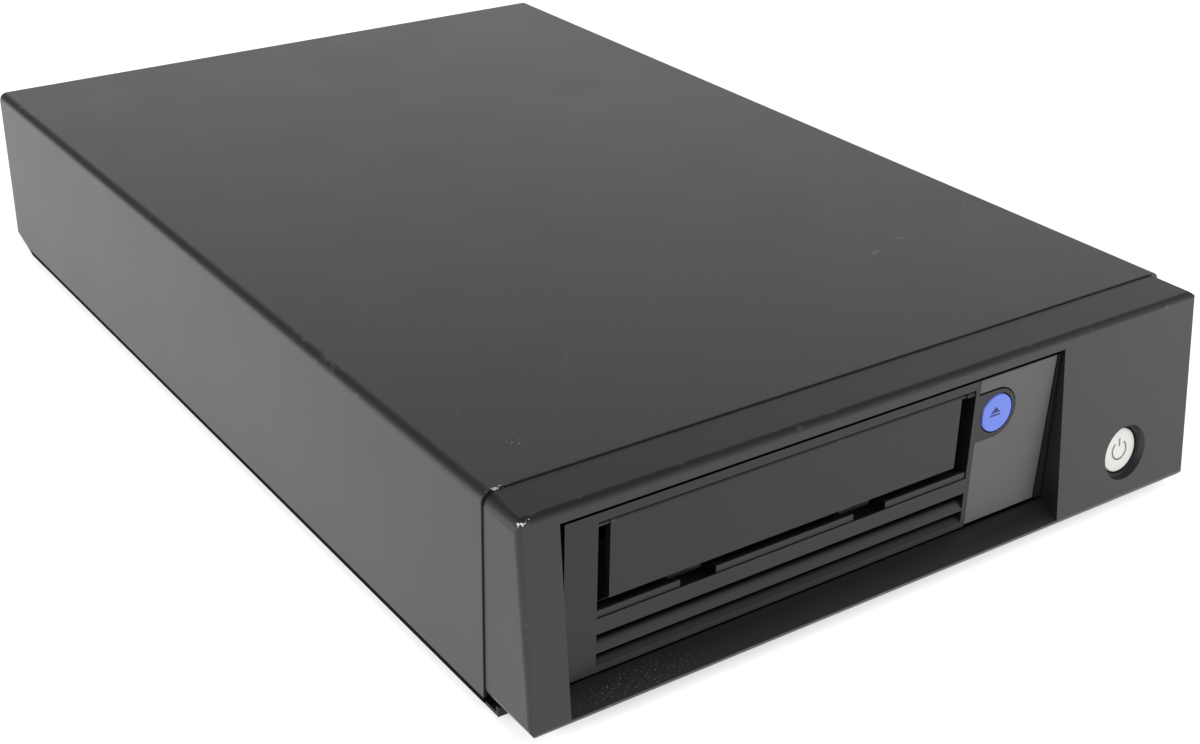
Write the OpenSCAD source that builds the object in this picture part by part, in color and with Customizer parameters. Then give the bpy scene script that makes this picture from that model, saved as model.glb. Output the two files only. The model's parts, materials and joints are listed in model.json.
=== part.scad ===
// Desktop half-height cartridge tape drive
// Origin at the middle of the outline, on the table. X to the right, Y to the back, Z up.

/* [Enclosure] */
// Width over the cover's sides
case_w = 213; // [209:0.5:225]
// Depth from the bezel's lowest front edge to the cover's back edge
case_d = 332; // [326:1:360]
// Height of the cover's top above the table
case_h = 58; // [58:0.5:66]
// Height of the bezel's lower edge above the table
base_h = 4.1; // [3.8:0.1:4.6]
// Thickness of the enclosure's sheet metal
sheet_t = 1; // [0.8:0.1:1.2]
// Outer radius of the cover's two bends
bend_r = 2.6; // [2:0.2:4]
// How far the cover's sides reach below the bezel
skirt = 0.9; // [0.5:0.1:1.2]
// Thickness of the rubber feet
foot_h = 1.3; // [1:0.1:1.6]
// Radius of the rubber feet
foot_r = 8; // [6:0.5:10]

/* [Bezel] */
// Depth of the bezel at its lower edge
bezel_d = 19; // [17:0.5:21]
// How far the bezel's top edge is set back from its lower edge
bezel_lean = 5.95; // [4:0.05:6]
// How far the cover stands proud of the bezel at the seam
bezel_step = 0.4; // [0.2:0.1:0.6]
// How far the bezel's top falls from the seam to its front edge
bezel_droop = 0.54; // [0:0.02:1]
// Wall of the bezel's front
bezel_t = 2.4; // [2:0.1:2.8]
// Outer radius of the bezel's corners
bezel_r = 3.6; // [1.5:0.1:4]
// Gap left of the drive in the bezel's window
window_gap_left = 1.9; // [1:0.1:2.2]
// Gap right of the drive in the bezel's window
window_gap_right = 0.3; // [0.2:0.1:1]
// Gap above the drive in the bezel's window
window_gap_top = 0.75; // [0.4:0.05:1]
// Height of the front lip under the window's ramp
window_lip = 2; // [1.6:0.1:3]

/* [Power button] */
// Radius of the power button's face
power_r = 6.2; // [5:0.1:7]
// Radius of the dished hole's rim
power_rim_r = 7.7; // [7.2:0.1:9]
// Distance of the button's middle from the bezel's right side
power_in = 24.9; // [20:0.1:30]
// Height of the button's middle along the bezel's face
power_up = 14.2; // [12:0.1:18]
// How deep the button's face lies in its hole
power_sink = 2; // [1:0.1:2.4]
// Travel of the power button
power_travel = 1.5; // [0.8:0.1:1.6]

/* [Drive] */
// Width of the drive's body
drive_w = 146; // [145:0.5:147]
// Depth of the drive behind its faceplate's front
drive_d = 204.5; // [203.5:0.5:212]
// Height of the drive's body
drive_h = 41.3; // [41:0.1:42]
// Distance of the drive's body from the cover's left side
drive_left = 14.8; // [14.6:0.1:16]
// Height of the drive's body above the bezel's lower edge
drive_up = 6.8; // [6.6:0.1:7.2]
// Wall of the drive's cast base
cast_t = 2.5; // [2:0.1:2.8]
// Thickness of the drive's sheet metal
shield_t = 0.8; // [0.6:0.1:0.9]

/* [Faceplate] */
// Width of the faceplate
face_w = 149.8; // [149:0.1:150.4]
// Height of the faceplate
face_h = 42.8; // [42.6:0.1:43.2]
// How far the faceplate lies behind the bezel's lowest front edge
face_set = 6.5; // [6.2:0.1:7.5]
// Wall of the faceplate
face_t = 2.4; // [2:0.1:2.6]
// Width of the cartridge slot
slot_w = 112; // [110:0.5:113]
// Distance of the slot from the faceplate's left edge
slot_left = 8.7; // [8:0.1:9.5]
// Height of the slot's sill above the faceplate's lower edge
sill_up = 15.9; // [15.6:0.1:16.2]
// Height of the bar under the slot
sill_bar = 5.1; // [4.6:0.1:5.4]
// Depth over which a louvre slopes out to the front
louvre_d = 2.2; // [1.8:0.1:4]
// Radius of the eject button
eject_r = 5.2; // [4.5:0.1:5.4]
// Travel of the eject button
eject_travel = 1.2; // [0.6:0.1:1.4]

/* [Cartridge] */
// Width of the cartridge that the bay takes
cart_w = 105.4; // [105:0.1:105.8]
// Depth of the cartridge
cart_d = 102; // [101:0.5:102.5]
// Height of the cartridge
cart_h = 21.5; // [21:0.1:21.6]
// Thickness of the door
door_t = 1.8; // [1.6:0.1:2]
// How far the tray lowers the cartridge
tray_drop = 5; // [4:0.1:5]
// How far the cam slider travels
cam_travel = 10; // [8:0.5:10]

/* [Tape path] */
// Radius of the take-up reel's flanges
reel_r = 36; // [30:0.5:36]
// Width of the tape, with its play between the flanges
tape_w = 13.2; // [12.8:0.1:13.6]
// Radius of a guide roller's barrel
roller_r = 4.2; // [3.5:0.1:4.4]
// Radius of the circle on which the guide rollers stand
roller_circle_r = 21; // [20.5:0.1:21.5]
// Reach of the threader arm
threader_reach = 33.5; // [32.5:0.1:34]
// Travel of the head, up and down from its middle
head_travel = 3; // [2:0.1:3]

/* [Back] */
// Side of the square fan
fan_w = 40; // [38:0.5:42]
// Depth of the fan
fan_d = 20; // [15:0.5:22]
// Number of fan blades
blade_n = 7; // [5:1:9]
// Width of the inlet's plug cavity
inlet_w = 24.4; // [24:0.1:25]
// Height of the inlet's plug cavity
inlet_h = 16.4; // [16:0.1:17]
// Width of a data socket's mouth
data_w = 20.4; // [18:0.1:22]
// Height of a data socket's mouth
data_h = 9.4; // [8.8:0.1:10]
// Length of the power supply
psu_d = 141; // [120:1:145]
// Width of the power supply
psu_w = 44; // [38:0.5:45]
// Height of the power supply
psu_h = 40; // [36:0.5:44]

/* [Hidden] */
$fn = 64;

// Clearances
fit = 0.15;
gap = 0.3;
running = 0.05;
over = 2;

// Sizes of the enclosure's hidden parts
hem_back = 4;
corner_cut = 14;
corner_mid = 9;
corner_rise = 4.1;
corner_low_rise = 1.6;
pan_wall = 12;
rear_set = 3;
rear_flange = 12;
rear_low = 3.9;
foot_in = 16;
foot_edge = 38;
foot_chamfer = 0.3;
ear_w = 14;
ear_h = 9;
ear_in = 12;
screw_r = 1.5;
head_r = 2.9;
head_h = 1.8;
socket_r = 1.1;
case_screw_l = 5;
bulge_l = 16;
bulge_h = 5;
bulge_out = 0.8;
bulge_back = 30;

// Places of the enclosure
side = case_w / 2;
front = -case_d / 2;
back = case_d / 2;
seam = front + bezel_d;
inner_side = side - sheet_t;
inner_top = case_h - sheet_t;
cover_low = base_h - skirt;
pan_top = foot_h + sheet_t;
pan_side = inner_side - gap;
pan_front = seam - hem_back;
pan_back = back - corner_cut;
rear_out = back - rear_set;
rear_in = rear_out - sheet_t;
rear_side = inner_side - gap;
ear_x = side - ear_in - ear_w / 2;
ear_z = inner_top - ear_h / 2;

// Sizes and places of the bezel
front_round = 2.1;
side_round = 1.4;
lap_d = 6;
lap_t = 1.5;
collar_t = 1.6;
bezel_floor = 1.8;
lip_back = 0.2;
bezel_side = side - bezel_step;
bezel_top_seam = case_h - bezel_step;
bezel_top = bezel_top_seam - bezel_droop;
lean = atan(bezel_lean / (bezel_top - base_h));

// Places of the drive
face_over = 0.8;
face_rim = 10.5;
face_rim_t = 1.6;
deck_up = 4.7;
deck_t = 2;
drive_x0 = -side + drive_left;
drive_x1 = drive_x0 + drive_w;
drive_xc = drive_x0 + drive_w / 2;
face_x0 = drive_xc - face_w / 2;
face_x1 = drive_xc + face_w / 2;
face_y = front + face_set;
drive_z0 = base_h + drive_up;
drive_z1 = drive_z0 + drive_h;
face_z0 = drive_z0 - face_over;
face_z1 = face_z0 + face_h;
drive_y0 = face_y + face_rim + gap;
drive_y1 = face_y + drive_d;
cast_z1 = drive_z1 - shield_t - fit;
deck_z0 = drive_z0 + deck_up;
deck_z1 = deck_z0 + deck_t;
in_x0 = drive_x0 + cast_t;
in_x1 = drive_x1 - cast_t;
in_y1 = drive_y1 - cast_t;
window_x0 = face_x0 - window_gap_left;
window_x1 = face_x1 + window_gap_right;
window_z1 = face_z1 + window_gap_top;
window_z0 = face_z0 - fit;

// Places of the slot, the sill's rib with its notches, the louvres and the door
rib_d = 1.3;
rib_h = 1.2;
lip_in = 0.35;
lip_up = 0.95;
lip_low = 0.95;
notch_w = 10.3;
notch_h = 2.4;
notch_skin = 0.4;
notch_x_shares = [0.206, 0.669];
louvre_dark = 1.15;
louvre_back = 6;
louvre_places = [[0, 4.75], [5.1, 3.5]];
door_spare = 0.4;
door_gap = 0.25;
door_in_left = 3.3;
door_in_right = 4.6;
door_lift = 3.5;
trunnion_r = 0.6;
trunnion_in = 0.9;
door_rib = 1.2;
door_rib_drop = 2.4;
door_rib_n = 5;
slot_wall = 1.3;
slot_x0 = face_x0 + slot_left;
slot_x1 = slot_x0 + slot_w;
sill_z = face_z0 + sill_up;
axis_y = face_y + fit + door_t / 2;
axis_z = sill_z + cart_h + door_spare + door_t / 2;
slot_z1 = axis_z + door_t / 2 + door_gap;
door_x0 = slot_x0 + door_in_left;
door_x1 = slot_x1 - door_in_right;
door_z0 = sill_z + door_lift;
spring_l = 2.4;

// Places of the status panel and the eject button
panel_edge = 0.7;
panel_slant = 1.8;
panel_t = 1;
panel_deep = 1.15;
panel_rim = 0.55;
collar_r = 6.5;
eject_in = 6.7;
eject_up = 31.4;
eject_flange = 1.2;
eject_flange_t = 1.2;
eject_l = 3.5;
stem_r = 1.5;
board_t = 1.6;
panel_x0 = slot_x1 + slot_wall;
panel_x1 = face_x1 - panel_edge;
panel_z0 = face_z0 + panel_rim;
panel_z1 = face_z1 - panel_rim;
eject_x = panel_x0 + eject_in;
eject_z = face_z0 + eject_up;
eject_flange_y = face_y + face_t + fit;
eject_switch_y = eject_flange_y + eject_l + eject_travel;

// Places of the power button, measured inwards from the bezel's face
power_flange = 1.3;
power_flange_t = 1.5;
power_wall = 6.5;
switch_w = 8;
switch_h = 6;
switch_board_w = 24;
switch_board_h = 17;
switch_post_r = 2;
switch_post_x = 9.9;
power_x = side - power_in;
power_flange_y = power_sink + power_wall - power_flange_t - power_travel;
switch_y = power_flange_y + power_flange_t + power_travel + gap + switch_h;

// Places of the cartridge bay, its tray and what lowers it
door_reach = 24;
tray_gap = 0.5;
tray_t = 1;
tray_play = 0.4;
tray_head = 0.6;
tray_lip = 5;
tray_short = 15.3;
tray_hole_r = 23;
plate_t = 1.2;
plate_gap = 0.5;
plate_h = 23;
plate_in = 2.5;
plate_l = 77;
cross_w = 6;
pin_r = 1.5;
pin_play = 0.15;
pin_up = 17.5;
pin_in_front = 15;
pin_in_back = 8;
rail_t = 2;
rail_in = 2;
rail_past = 6;
rail_foot = 7;
rack_up = 5.5;
rack_low = 1.2;
clutch_r = 19;
clutch_t = 1.4;
tooth_h = 1;
clutch_teeth = 24;
motor_low = 3.5;
motor_stub = 2.6;
cart_x = slot_x0 + slot_w / 2;
bay_y0 = face_y + door_reach;
tray_y0 = bay_y0 + tray_gap;
tray_y1 = bay_y0 + cart_d + gap + tray_t;
tray_half = cart_w / 2 + tray_play;
tray_x0 = cart_x - tray_half - tray_t;
tray_x1 = cart_x + tray_half + tray_t;
tray_z0 = sill_z - tray_t;
tray_z1 = sill_z + cart_h + tray_head;
plate_z0 = deck_z1 + gap;
plate_z1 = deck_z1 + plate_h;
plate_y0 = bay_y0 + plate_in;
plate_y1 = plate_y0 + plate_l;
plate_x0 = tray_x0 - plate_gap - plate_t;
plate_x1 = tray_x1 + plate_gap;
pin_z = deck_z1 + pin_up;
pin_y = [plate_y0 + pin_in_front, plate_y1 - pin_in_back];
rail_x0 = plate_x0 - plate_gap - rail_t;
rail_x1 = plate_x1 + plate_t + plate_gap;
rail_y0 = plate_y0 + rail_in;
rail_y1 = plate_y1 + rail_past;
rack_z0 = plate_z0 + rack_low;
rack_z1 = deck_z1 + rack_up;
supply_y = bay_y0 + cart_d / 2;

// Gears of the loader
rack_m = 0.8;
rack_n = 10;
rack_base = 1.7;
rack_ahead = 6;
wheel_m = 0.7;
wheel_n = 18;
pinion_n = 9;
wheel_up = 24.5;
wheel_t = 3;
addendum_share = 0.75;
dedendum_share = 1.1;
foot_share = 0.8;
pressure = 25;
backlash = 0.12;
gear_in = 41;
gear_pin_r = 1.5;
gear_sleeve = 1.1;
gear_seat = 1.2;
loader_can_r = 6.2;
loader_edge = 2;
gear_x = plate_x1 + plate_t + rack_base + rack_m * rack_n / 2;
gear_y = plate_y0 + gear_in;
pinion_x = gear_x + wheel_m * (wheel_n + pinion_n) / 2;
wheel_z0 = deck_z1 + wheel_up;

// Places of the tape path
tape_up = 14.35;
flange_t = 1.5;
reel_shift = 2.9;
reel_gap = 0.7;
reel_hub_r = 21;
shaft_r = 2;
thread_right = 42.9;
thread_ahead = 12;
thread_start = -58;
arm_up = 26.5;
arm_t = 2;
arm_w = 6;
block_r = 3.4;
roller_angles = [-62, -28, 28, 62];
roller_rim = 1.3;
roller_flange_t = 1.2;
post_r = 1.5;
head_right = 8;
head_posts = 6.5;
head_post_r = 1.2;
head_block = 6;
head_h_low = 11;
head_screw_r = 1.25;
head_spare = 0.7;
head_arm = 11;
head_half = 3.6;
head_crown_share = 1.5;
tape_z = deck_z1 + tape_up;
tape_low = tape_z - tape_w / 2;
tape_high = tape_z + tape_w / 2;
reel_x = cart_x + reel_shift;
reel_y = tray_y1 + reel_gap + reel_r;
thread_x = cart_x + thread_right;
thread_y = reel_y - thread_ahead;
arm_z = deck_z1 + arm_up;
head_x = thread_x + head_right;
head_top = tape_high + head_travel + head_spare;

// Places at the back
fan_in = 44.5;
fan_up = 27.7;
fan_hole = 16;
fan_blade_r = 18.2;
fan_hub_r = 9;
blade_t = 1;
blade_pitch = 52;
strut_w = 2.4;
strut_d = 3;
strut_turn = 30;
vent_r = 1.75;
vent_pitch = 4.5;
vent_rings = 4;
inlet_in = 25;
inlet_up = 23.7;
inlet_corner = 4.5;
inlet_wall = 1.6;
inlet_deep = 17;
inlet_body = 19;
inlet_flange = 3.2;
inlet_flange_t = 1.8;
inlet_pin_places = [[-7, -2], [0, 2], [7, -2]];
inlet_pin_w = 4;
inlet_pin_t = 2;
data_places = [-10, 16];
data_up = 22.7;
data_wall = 0.8;
data_deep = 15;
data_out = 0.6;
data_board_d = 50;
data_board_w = 60;
data_post_r = 2.5;
data_post_in = 5;
data_post_back = 25;
fan_x = -side + fan_in;
fan_z = pan_top + fan_up;
fan_back = rear_in - fit;
inlet_x = side - inlet_in;
inlet_z = pan_top + inlet_up;
inlet_face = rear_out + fit + inlet_flange_t;
data_z = pan_top + data_up;
data_mid = (data_places[0] + data_places[1]) / 2;
data_low = data_z - data_h / 2 - data_wall;
data_board_z = data_low - fit - board_t;
data_board_y0 = rear_in - data_board_d;
data_board_x = [data_mid - data_board_w / 2, data_mid + data_board_w / 2];
data_post_x = [data_board_x[0] + data_post_in, data_board_x[1] - data_post_in];
data_post_y = [data_board_y0 + data_post_in, rear_in - data_post_back];

// The power supply
psu_behind = 13;
psu_slot = 2.4;
psu_slot_pitch = 6;
psu_post_h = 3;
psu_post_r = 2;
psu_x1 = pan_side - sheet_t - gap;
psu_x0 = psu_x1 - psu_w;
psu_y1 = rear_in - psu_behind;
psu_y0 = psu_y1 - psu_d;
psu_z0 = pan_top + fit;
psu_z1 = psu_z0 + psu_h;
psu_board_z = psu_z0 + sheet_t + psu_post_h;
psu_parts_z = psu_board_z + board_t;

// Connectors, cable and lead between the drive and the back
plug_w = 24;
plug_d = 9;
plug_h = 6;
plug_low_h = 3.3;
plug_out = 3;
plug_up = 1.2;
power_plug_w = 16;
power_plug_in = 18;
cable_shift = 0;
cable_w = 20;
cable_t = 1.2;
cable_sag = 6;
lead_r = 2.2;
lead_bend = 12;
cable_x = data_mid + cable_shift;
power_plug_x = drive_x1 - power_plug_in;
lead_y = (drive_y1 + psu_y1) / 2;
plug_z = drive_z0 + plug_up;
plug_mid = plug_z + plug_h / 2;

// Brackets and what the cast base holds
bracket_short = 6;
bracket_up = 30;
bracket_foot = 11;
bracket_hole_in = [47.4, 126.6];
bracket_hole_up = 10;
bracket_vent_r = 5;
bracket_vent_pitch = 20;
bracket_vent_up = 18.6;
bracket_vent_n = 3;
boss_r = 3;
boss_in_x = 6;
boss_in_front = 7;
boss_in_back = 8;
boss_hole = 8;
cover_screw_r = 1.2;
cover_screw_l = 7;
prop_in_x = 12;
prop_in_y = 30;
main_board_up = 1.8;
main_board_in = 12;
chip_h = 0.8;
chip_w = 18;
chip_places = [[20, 50], [60, 50], [100, 50], [20, 100], [60, 100], [100, 100]];
shield_slot_w = 2.4;
shield_slot_l = 35;
shield_slot_pitch = 12;
shield_slot_x = 14;
shield_slot_y = [40, 110];
shield_slot_n = 9;
bracket_y0 = seam + lap_d;
bracket_y1 = drive_y1 - bracket_short;
bracket_holes = [face_y + bracket_hole_in[0], face_y + bracket_hole_in[1]];
bracket_hole_z = drive_z0 + bracket_hole_up;
main_board_z = drive_z0 + main_board_up;
boss_places = [
  [drive_x0 + boss_in_x, drive_y0 + boss_in_front],
  [drive_x1 - boss_in_x, drive_y0 + boss_in_front],
  [drive_x0 + boss_in_x, drive_y1 - boss_in_back],
  [drive_x1 - boss_in_x, drive_y1 - boss_in_back]
];

// A box between pairs of places
module block(x, y, z) {
  translate([x[0], y[0], z[0]])
    cube([x[1] - x[0], y[1] - y[0], z[1] - z[0]]);
}

// Round bars along each axis
module rod_x(x, y, z, r) {
  translate([x[0], y, z])
    rotate([0, 90, 0])
      cylinder(r = r, h = x[1] - x[0]);
}

module rod_y(x, y, z, r) {
  translate([x, y[0], z])
    rotate([-90, 0, 0])
      cylinder(r = r, h = y[1] - y[0]);
}

module rod_z(x, y, z, r) {
  translate([x, y, z[0]])
    cylinder(r = r, h = z[1] - z[0]);
}

// Outlines drawn in X and Z, in Y and Z, or in X and Y, stretched along the third axis
module along_y(y) {
  translate([0, y[1], 0])
    rotate([90, 0, 0])
      linear_extrude(y[1] - y[0])
        children();
}

module along_x(x) {
  translate([x[0], 0, 0])
    rotate([90, 0, 90])
      linear_extrude(x[1] - x[0])
        children();
}

module along_z(z) {
  translate([0, 0, z[0]])
    linear_extrude(z[1] - z[0])
      children();
}

// A rectangle between pairs of places, and one with round corners
module pane(x, y) {
  translate([x[0], y[0]])
    square([x[1] - x[0], y[1] - y[0]]);
}

module soft_pane(x, y, r) {
  pane([x[0] + r, x[1] - r], y);
  pane(x, [y[0] + r, y[1] - r]);
  for (cx = [x[0] + r, x[1] - r], cy = [y[0] + r, y[1] - r])
    translate([cx, cy])
      circle(r);
}

// A convex outline whose corners are rounded, each with its own radius
function unit_to(a, b) = (b - a) / norm(b - a);
function corner_half(a, v, b) = acos(unit_to(v, a) * unit_to(v, b)) / 2;
function bisector(a, v, b) = unit_to([0, 0], unit_to(v, a) + unit_to(v, b));
function round_middle(a, v, b, r) = v + bisector(a, v, b) * r / sin(corner_half(a, v, b));
module soft_outline(points, radii) {
  n = len(points);
  cut = [for (i = [0:n - 1]) let (
    a = points[(i + n - 1) % n],
    v = points[i],
    b = points[(i + 1) % n],
    back_off = radii[i] / tan(corner_half(a, v, b))
  ) each radii[i] > 0 ? [v + unit_to(v, a) * back_off, v + unit_to(v, b) * back_off] : [v]];
  polygon(cut);
  for (i = [0:n - 1]) {
    a = points[(i + n - 1) % n];
    v = points[i];
    b = points[(i + 1) % n];
    if (radii[i] > 0)
      translate(round_middle(a, v, b, radii[i]))
        circle(radii[i]);
  }
}

// The frame of the bezel's leaning face: Y goes in, Z runs up the face
module on_face(x, up) {
  translate([x, front + up * sin(lean), base_h + up * cos(lean)])
    rotate([-lean, 0, 0])
      children();
}

// A pan-head screw pointing forwards, its head's top at y
module screw_y(x, y, z, l) {
  difference() {
    rod_y(x, [y - head_h, y], z, head_r);
    rod_y(x, [y - head_h / 2, y + over], z, socket_r);
  }
  rod_y(x, [y - head_h - l, y - head_h], z, screw_r);
}

// A small screw pointing down, its head standing on a face at z
head_share = 1.9;
drive_share = 0.7;
module screw_z(x, y, z, l, r) {
  difference() {
    rod_z(x, y, [z, z + r], r * head_share);
    rod_z(x, y, [z + r / 2, z + r + over], r * drive_share);
  }
  rod_z(x, y, [z - l, z], r);
}

// The cover's outline with its two bends
module arch(half, low, high, r) {
  pane([-half, half], [low, high - r]);
  pane([-half + r, half - r], [low, high]);
  for (s = [-1, 1])
    translate([s * (half - r), high - r])
      circle(r);
}

module top_cover() {
  bump_z = inner_top - bend_r;
  color([0.30, 0.30, 0.31]) {
    difference() {
      along_y([seam + fit, back])
        difference() {
          arch(side, cover_low, case_h, bend_r);
          arch(inner_side, cover_low - over, inner_top, bend_r - sheet_t);
        }
      along_x([-side - over, side + over])
        polygon([
          [back - corner_cut, cover_low - over],
          [back - corner_cut, cover_low],
          [back - corner_mid, cover_low + corner_low_rise],
          [back, cover_low + corner_rise],
          [back + over, cover_low + corner_rise],
          [back + over, cover_low - over]
        ]);
    }
    for (s = [-1, 1])
      difference() {
        cover_ear(s);
        rod_y(s * ear_x, [rear_out, back], ear_z, screw_r + fit);
      }
    along_z([bump_z - bulge_h, bump_z])
      soft_outline([
        [side - fit, back - bulge_back - bulge_l],
        [side + bulge_out, back - bulge_back - bulge_l],
        [side + bulge_out, back - bulge_back],
        [side - fit, back - bulge_back]
      ], [0, bulge_out / 2, bulge_out / 2, 0]);
  }
}

// An ear that folds down behind the rear panel
module cover_ear(s) {
  block([s * ear_x - ear_w / 2, s * ear_x + ear_w / 2],
    [rear_out + fit, rear_out + fit + sheet_t],
    [inner_top - ear_h, inner_top]);
}

module case_screws() {
  color([0.2, 0.2, 0.21])
    for (s = [-1, 1])
      screw_y(s * ear_x, rear_out + fit + sheet_t + head_h, ear_z, case_screw_l);
}

module base_pan() {
  color([0.16, 0.16, 0.17]) {
    block([-pan_side, pan_side], [pan_front, pan_back], [foot_h, pan_top]);
    block([-pan_side, pan_side], [pan_front, pan_front + sheet_t], [foot_h, base_h - fit]);
    for (s = [-1, 1])
      block(s > 0 ? [pan_side - sheet_t, pan_side] : [-pan_side, -pan_side + sheet_t],
        [seam + lap_d + gap, pan_back], [foot_h, pan_top + pan_wall]);
    for (x = data_post_x, y = data_post_y)
      rod_z(x, y, [pan_top - fit, data_board_z], data_post_r);
  }
}

module rubber_feet() {
  color([0.09, 0.09, 0.09])
    for (sx = [-1, 1], y = [front + foot_edge, back - foot_edge])
      translate([sx * (side - foot_in), y, 0]) {
        cylinder(r1 = foot_r - foot_chamfer, r2 = foot_r, h = foot_chamfer);
        translate([0, 0, foot_chamfer])
          cylinder(r = foot_r, h = foot_h - foot_chamfer);
      }
}

// Round vent holes on a hexagonal grid within a circle
module vent_holes(x, z) {
  for (i = [-vent_rings:vent_rings], j = [-vent_rings:vent_rings]) {
    px = (i + j / 2) * vent_pitch;
    pz = j * vent_pitch * sin(60);
    if (norm([px, pz]) < fan_w / 2 - vent_r)
      rod_y(x + px, [rear_in - over, rear_out + over], z + pz, vent_r);
  }
}

module rear_panel() {
  cut_y = [rear_in - over, rear_out + over];
  low = pan_top + fit;
  top = inner_top - gap;
  color([0.16, 0.16, 0.17])
    difference() {
      intersection() {
        along_x([-rear_side, rear_side])
          polygon([
            [pan_back - rear_flange, low],
            [pan_back, low],
            [rear_out, low + rear_low],
            [rear_out, top],
            [rear_in - rear_flange, top],
            [rear_in - rear_flange, top - sheet_t],
            [rear_in, top - sheet_t],
            [rear_in, low + rear_low + sheet_t / 2],
            [pan_back - fit, low + sheet_t],
            [pan_back - rear_flange, low + sheet_t]
          ]);
        along_y([pan_back - rear_flange - over, back])
          arch(rear_side, 0, top, bend_r - sheet_t - gap);
      }
      for (s = [-1, 1])
        block(s > 0 ? [pan_side - sheet_t - fit, side] : [-side, -pan_side + sheet_t + fit],
          [pan_back - rear_flange - over, pan_back + fit],
          [foot_h, pan_top + pan_wall + fit]);
      vent_holes(fan_x, fan_z);
      for (sx = [-1, 1], sz = [-1, 1])
        rod_y(fan_x + sx * fan_hole, cut_y, fan_z + sz * fan_hole, screw_r + fit);
      for (s = [-1, 1])
        rod_y(s * ear_x, cut_y, ear_z, screw_r + fit);
      along_y(cut_y)
        inlet_outline(inlet_wall + fit);
      for (x = data_places)
        block([x - data_w / 2 - data_wall - fit, x + data_w / 2 + data_wall + fit], cut_y,
          [data_low - fit, data_low + data_h + data_wall * 2 + fit]);
      block([psu_x0 - fit, psu_x1 + fit], [pan_back - rear_flange - over, psu_y1 + fit],
        [pan_top, low + sheet_t + fit]);
    }
}

// The inlet's outline: a rectangle with its two upper corners cut
module inlet_outline(grow) {
  x = inlet_w / 2 + grow;
  z = inlet_h / 2 + grow;
  polygon([
    [inlet_x - x, inlet_z - z],
    [inlet_x + x, inlet_z - z],
    [inlet_x + x, inlet_z + z - inlet_corner],
    [inlet_x + x - inlet_corner, inlet_z + z],
    [inlet_x - x + inlet_corner, inlet_z + z],
    [inlet_x - x, inlet_z + z - inlet_corner]
  ]);
}

module inlet_socket() {
  half_w = inlet_w / 2 + inlet_wall + inlet_flange;
  half_h = inlet_h / 2 + inlet_wall + inlet_flange;
  color([0.07, 0.07, 0.07])
    difference() {
      union() {
        along_y([rear_out + fit, inlet_face])
          soft_pane([inlet_x - half_w, inlet_x + half_w], [inlet_z - half_h, inlet_z + half_h],
            inlet_flange / 2);
        along_y([inlet_face - inlet_body - inlet_flange_t, rear_out + fit])
          inlet_outline(inlet_wall);
      }
      along_y([inlet_face - inlet_deep, inlet_face + over])
        inlet_outline(0);
      for (p = inlet_pin_places)
        block([inlet_x + p[0] - inlet_pin_t / 2, inlet_x + p[0] + inlet_pin_t / 2],
          [inlet_face - inlet_body - inlet_flange_t - over, inlet_face - inlet_deep + over],
          [inlet_z + p[1] - inlet_pin_w / 2, inlet_z + p[1] + inlet_pin_w / 2]);
    }
}

module inlet_pins() {
  color([0.78, 0.72, 0.5])
    for (p = inlet_pin_places)
      block([inlet_x + p[0] - inlet_pin_t / 2, inlet_x + p[0] + inlet_pin_t / 2],
        [inlet_face - inlet_body - inlet_flange_t * 2, inlet_face - inlet_flange_t],
        [inlet_z + p[1] - inlet_pin_w / 2, inlet_z + p[1] + inlet_pin_w / 2]);
}

// The fan stands against the rear panel, and its rotor turns on a pin in the frame's hub
module fan_frame() {
  hole_r = fan_blade_r + gap * 2;
  y = [fan_back - fan_d, fan_back];
  cut_y = [fan_back - fan_d - over, fan_back + over];
  color([0.1, 0.1, 0.1]) {
    difference() {
      along_y(y)
        soft_pane([fan_x - fan_w / 2, fan_x + fan_w / 2], [fan_z - fan_w / 2, fan_z + fan_w / 2],
          fan_d / 8);
      rod_y(fan_x, cut_y, fan_z, hole_r);
      for (sx = [-1, 1], sz = [-1, 1])
        rod_y(fan_x + sx * fan_hole, cut_y, fan_z + sz * fan_hole, screw_r + fit);
    }
    difference() {
      union() {
        rod_y(fan_x, [fan_back - strut_d, fan_back], fan_z, fan_hub_r);
        for (a = [0:120:359])
          translate([fan_x, 0, fan_z])
            rotate([0, a + strut_turn, 0])
              block([-strut_w / 2, strut_w / 2], [fan_back - strut_d, fan_back],
                [0, hole_r + fit]);
      }
      rod_y(fan_x, [fan_back - strut_d - over, fan_back - strut_d / 2], fan_z, screw_r + running);
    }
  }
}

module fan_rotor() {
  y0 = fan_back - fan_d + gap * 3;
  y1 = fan_back - strut_d - gap;
  color([0.13, 0.13, 0.13]) {
    rod_y(fan_x, [y0, y1], fan_z, fan_hub_r);
    rod_y(fan_x, [y1 - fit, fan_back - strut_d / 2 - gap], fan_z, screw_r);
    intersection() {
      difference() {
        rod_y(fan_x, [y0, y1], fan_z, fan_blade_r);
        rod_y(fan_x, [y0 - over, y1 + over], fan_z, fan_hub_r - fit);
      }
      for (i = [0:blade_n - 1])
        translate([fan_x, (y0 + y1) / 2, fan_z])
          rotate([0, i * 360 / blade_n, 0])
            rotate([0, 0, blade_pitch])
              block([-fan_d / 2, fan_d / 2], [-blade_t / 2, blade_t / 2], [0, fan_w]);
    }
  }
}

module fan_screws() {
  color([0.62, 0.62, 0.6])
    for (sx = [-1, 1], sz = [-1, 1])
      screw_y(fan_x + sx * fan_hole, rear_out + fit + head_h, fan_z + sz * fan_hole, fan_d / 2);
}

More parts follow.
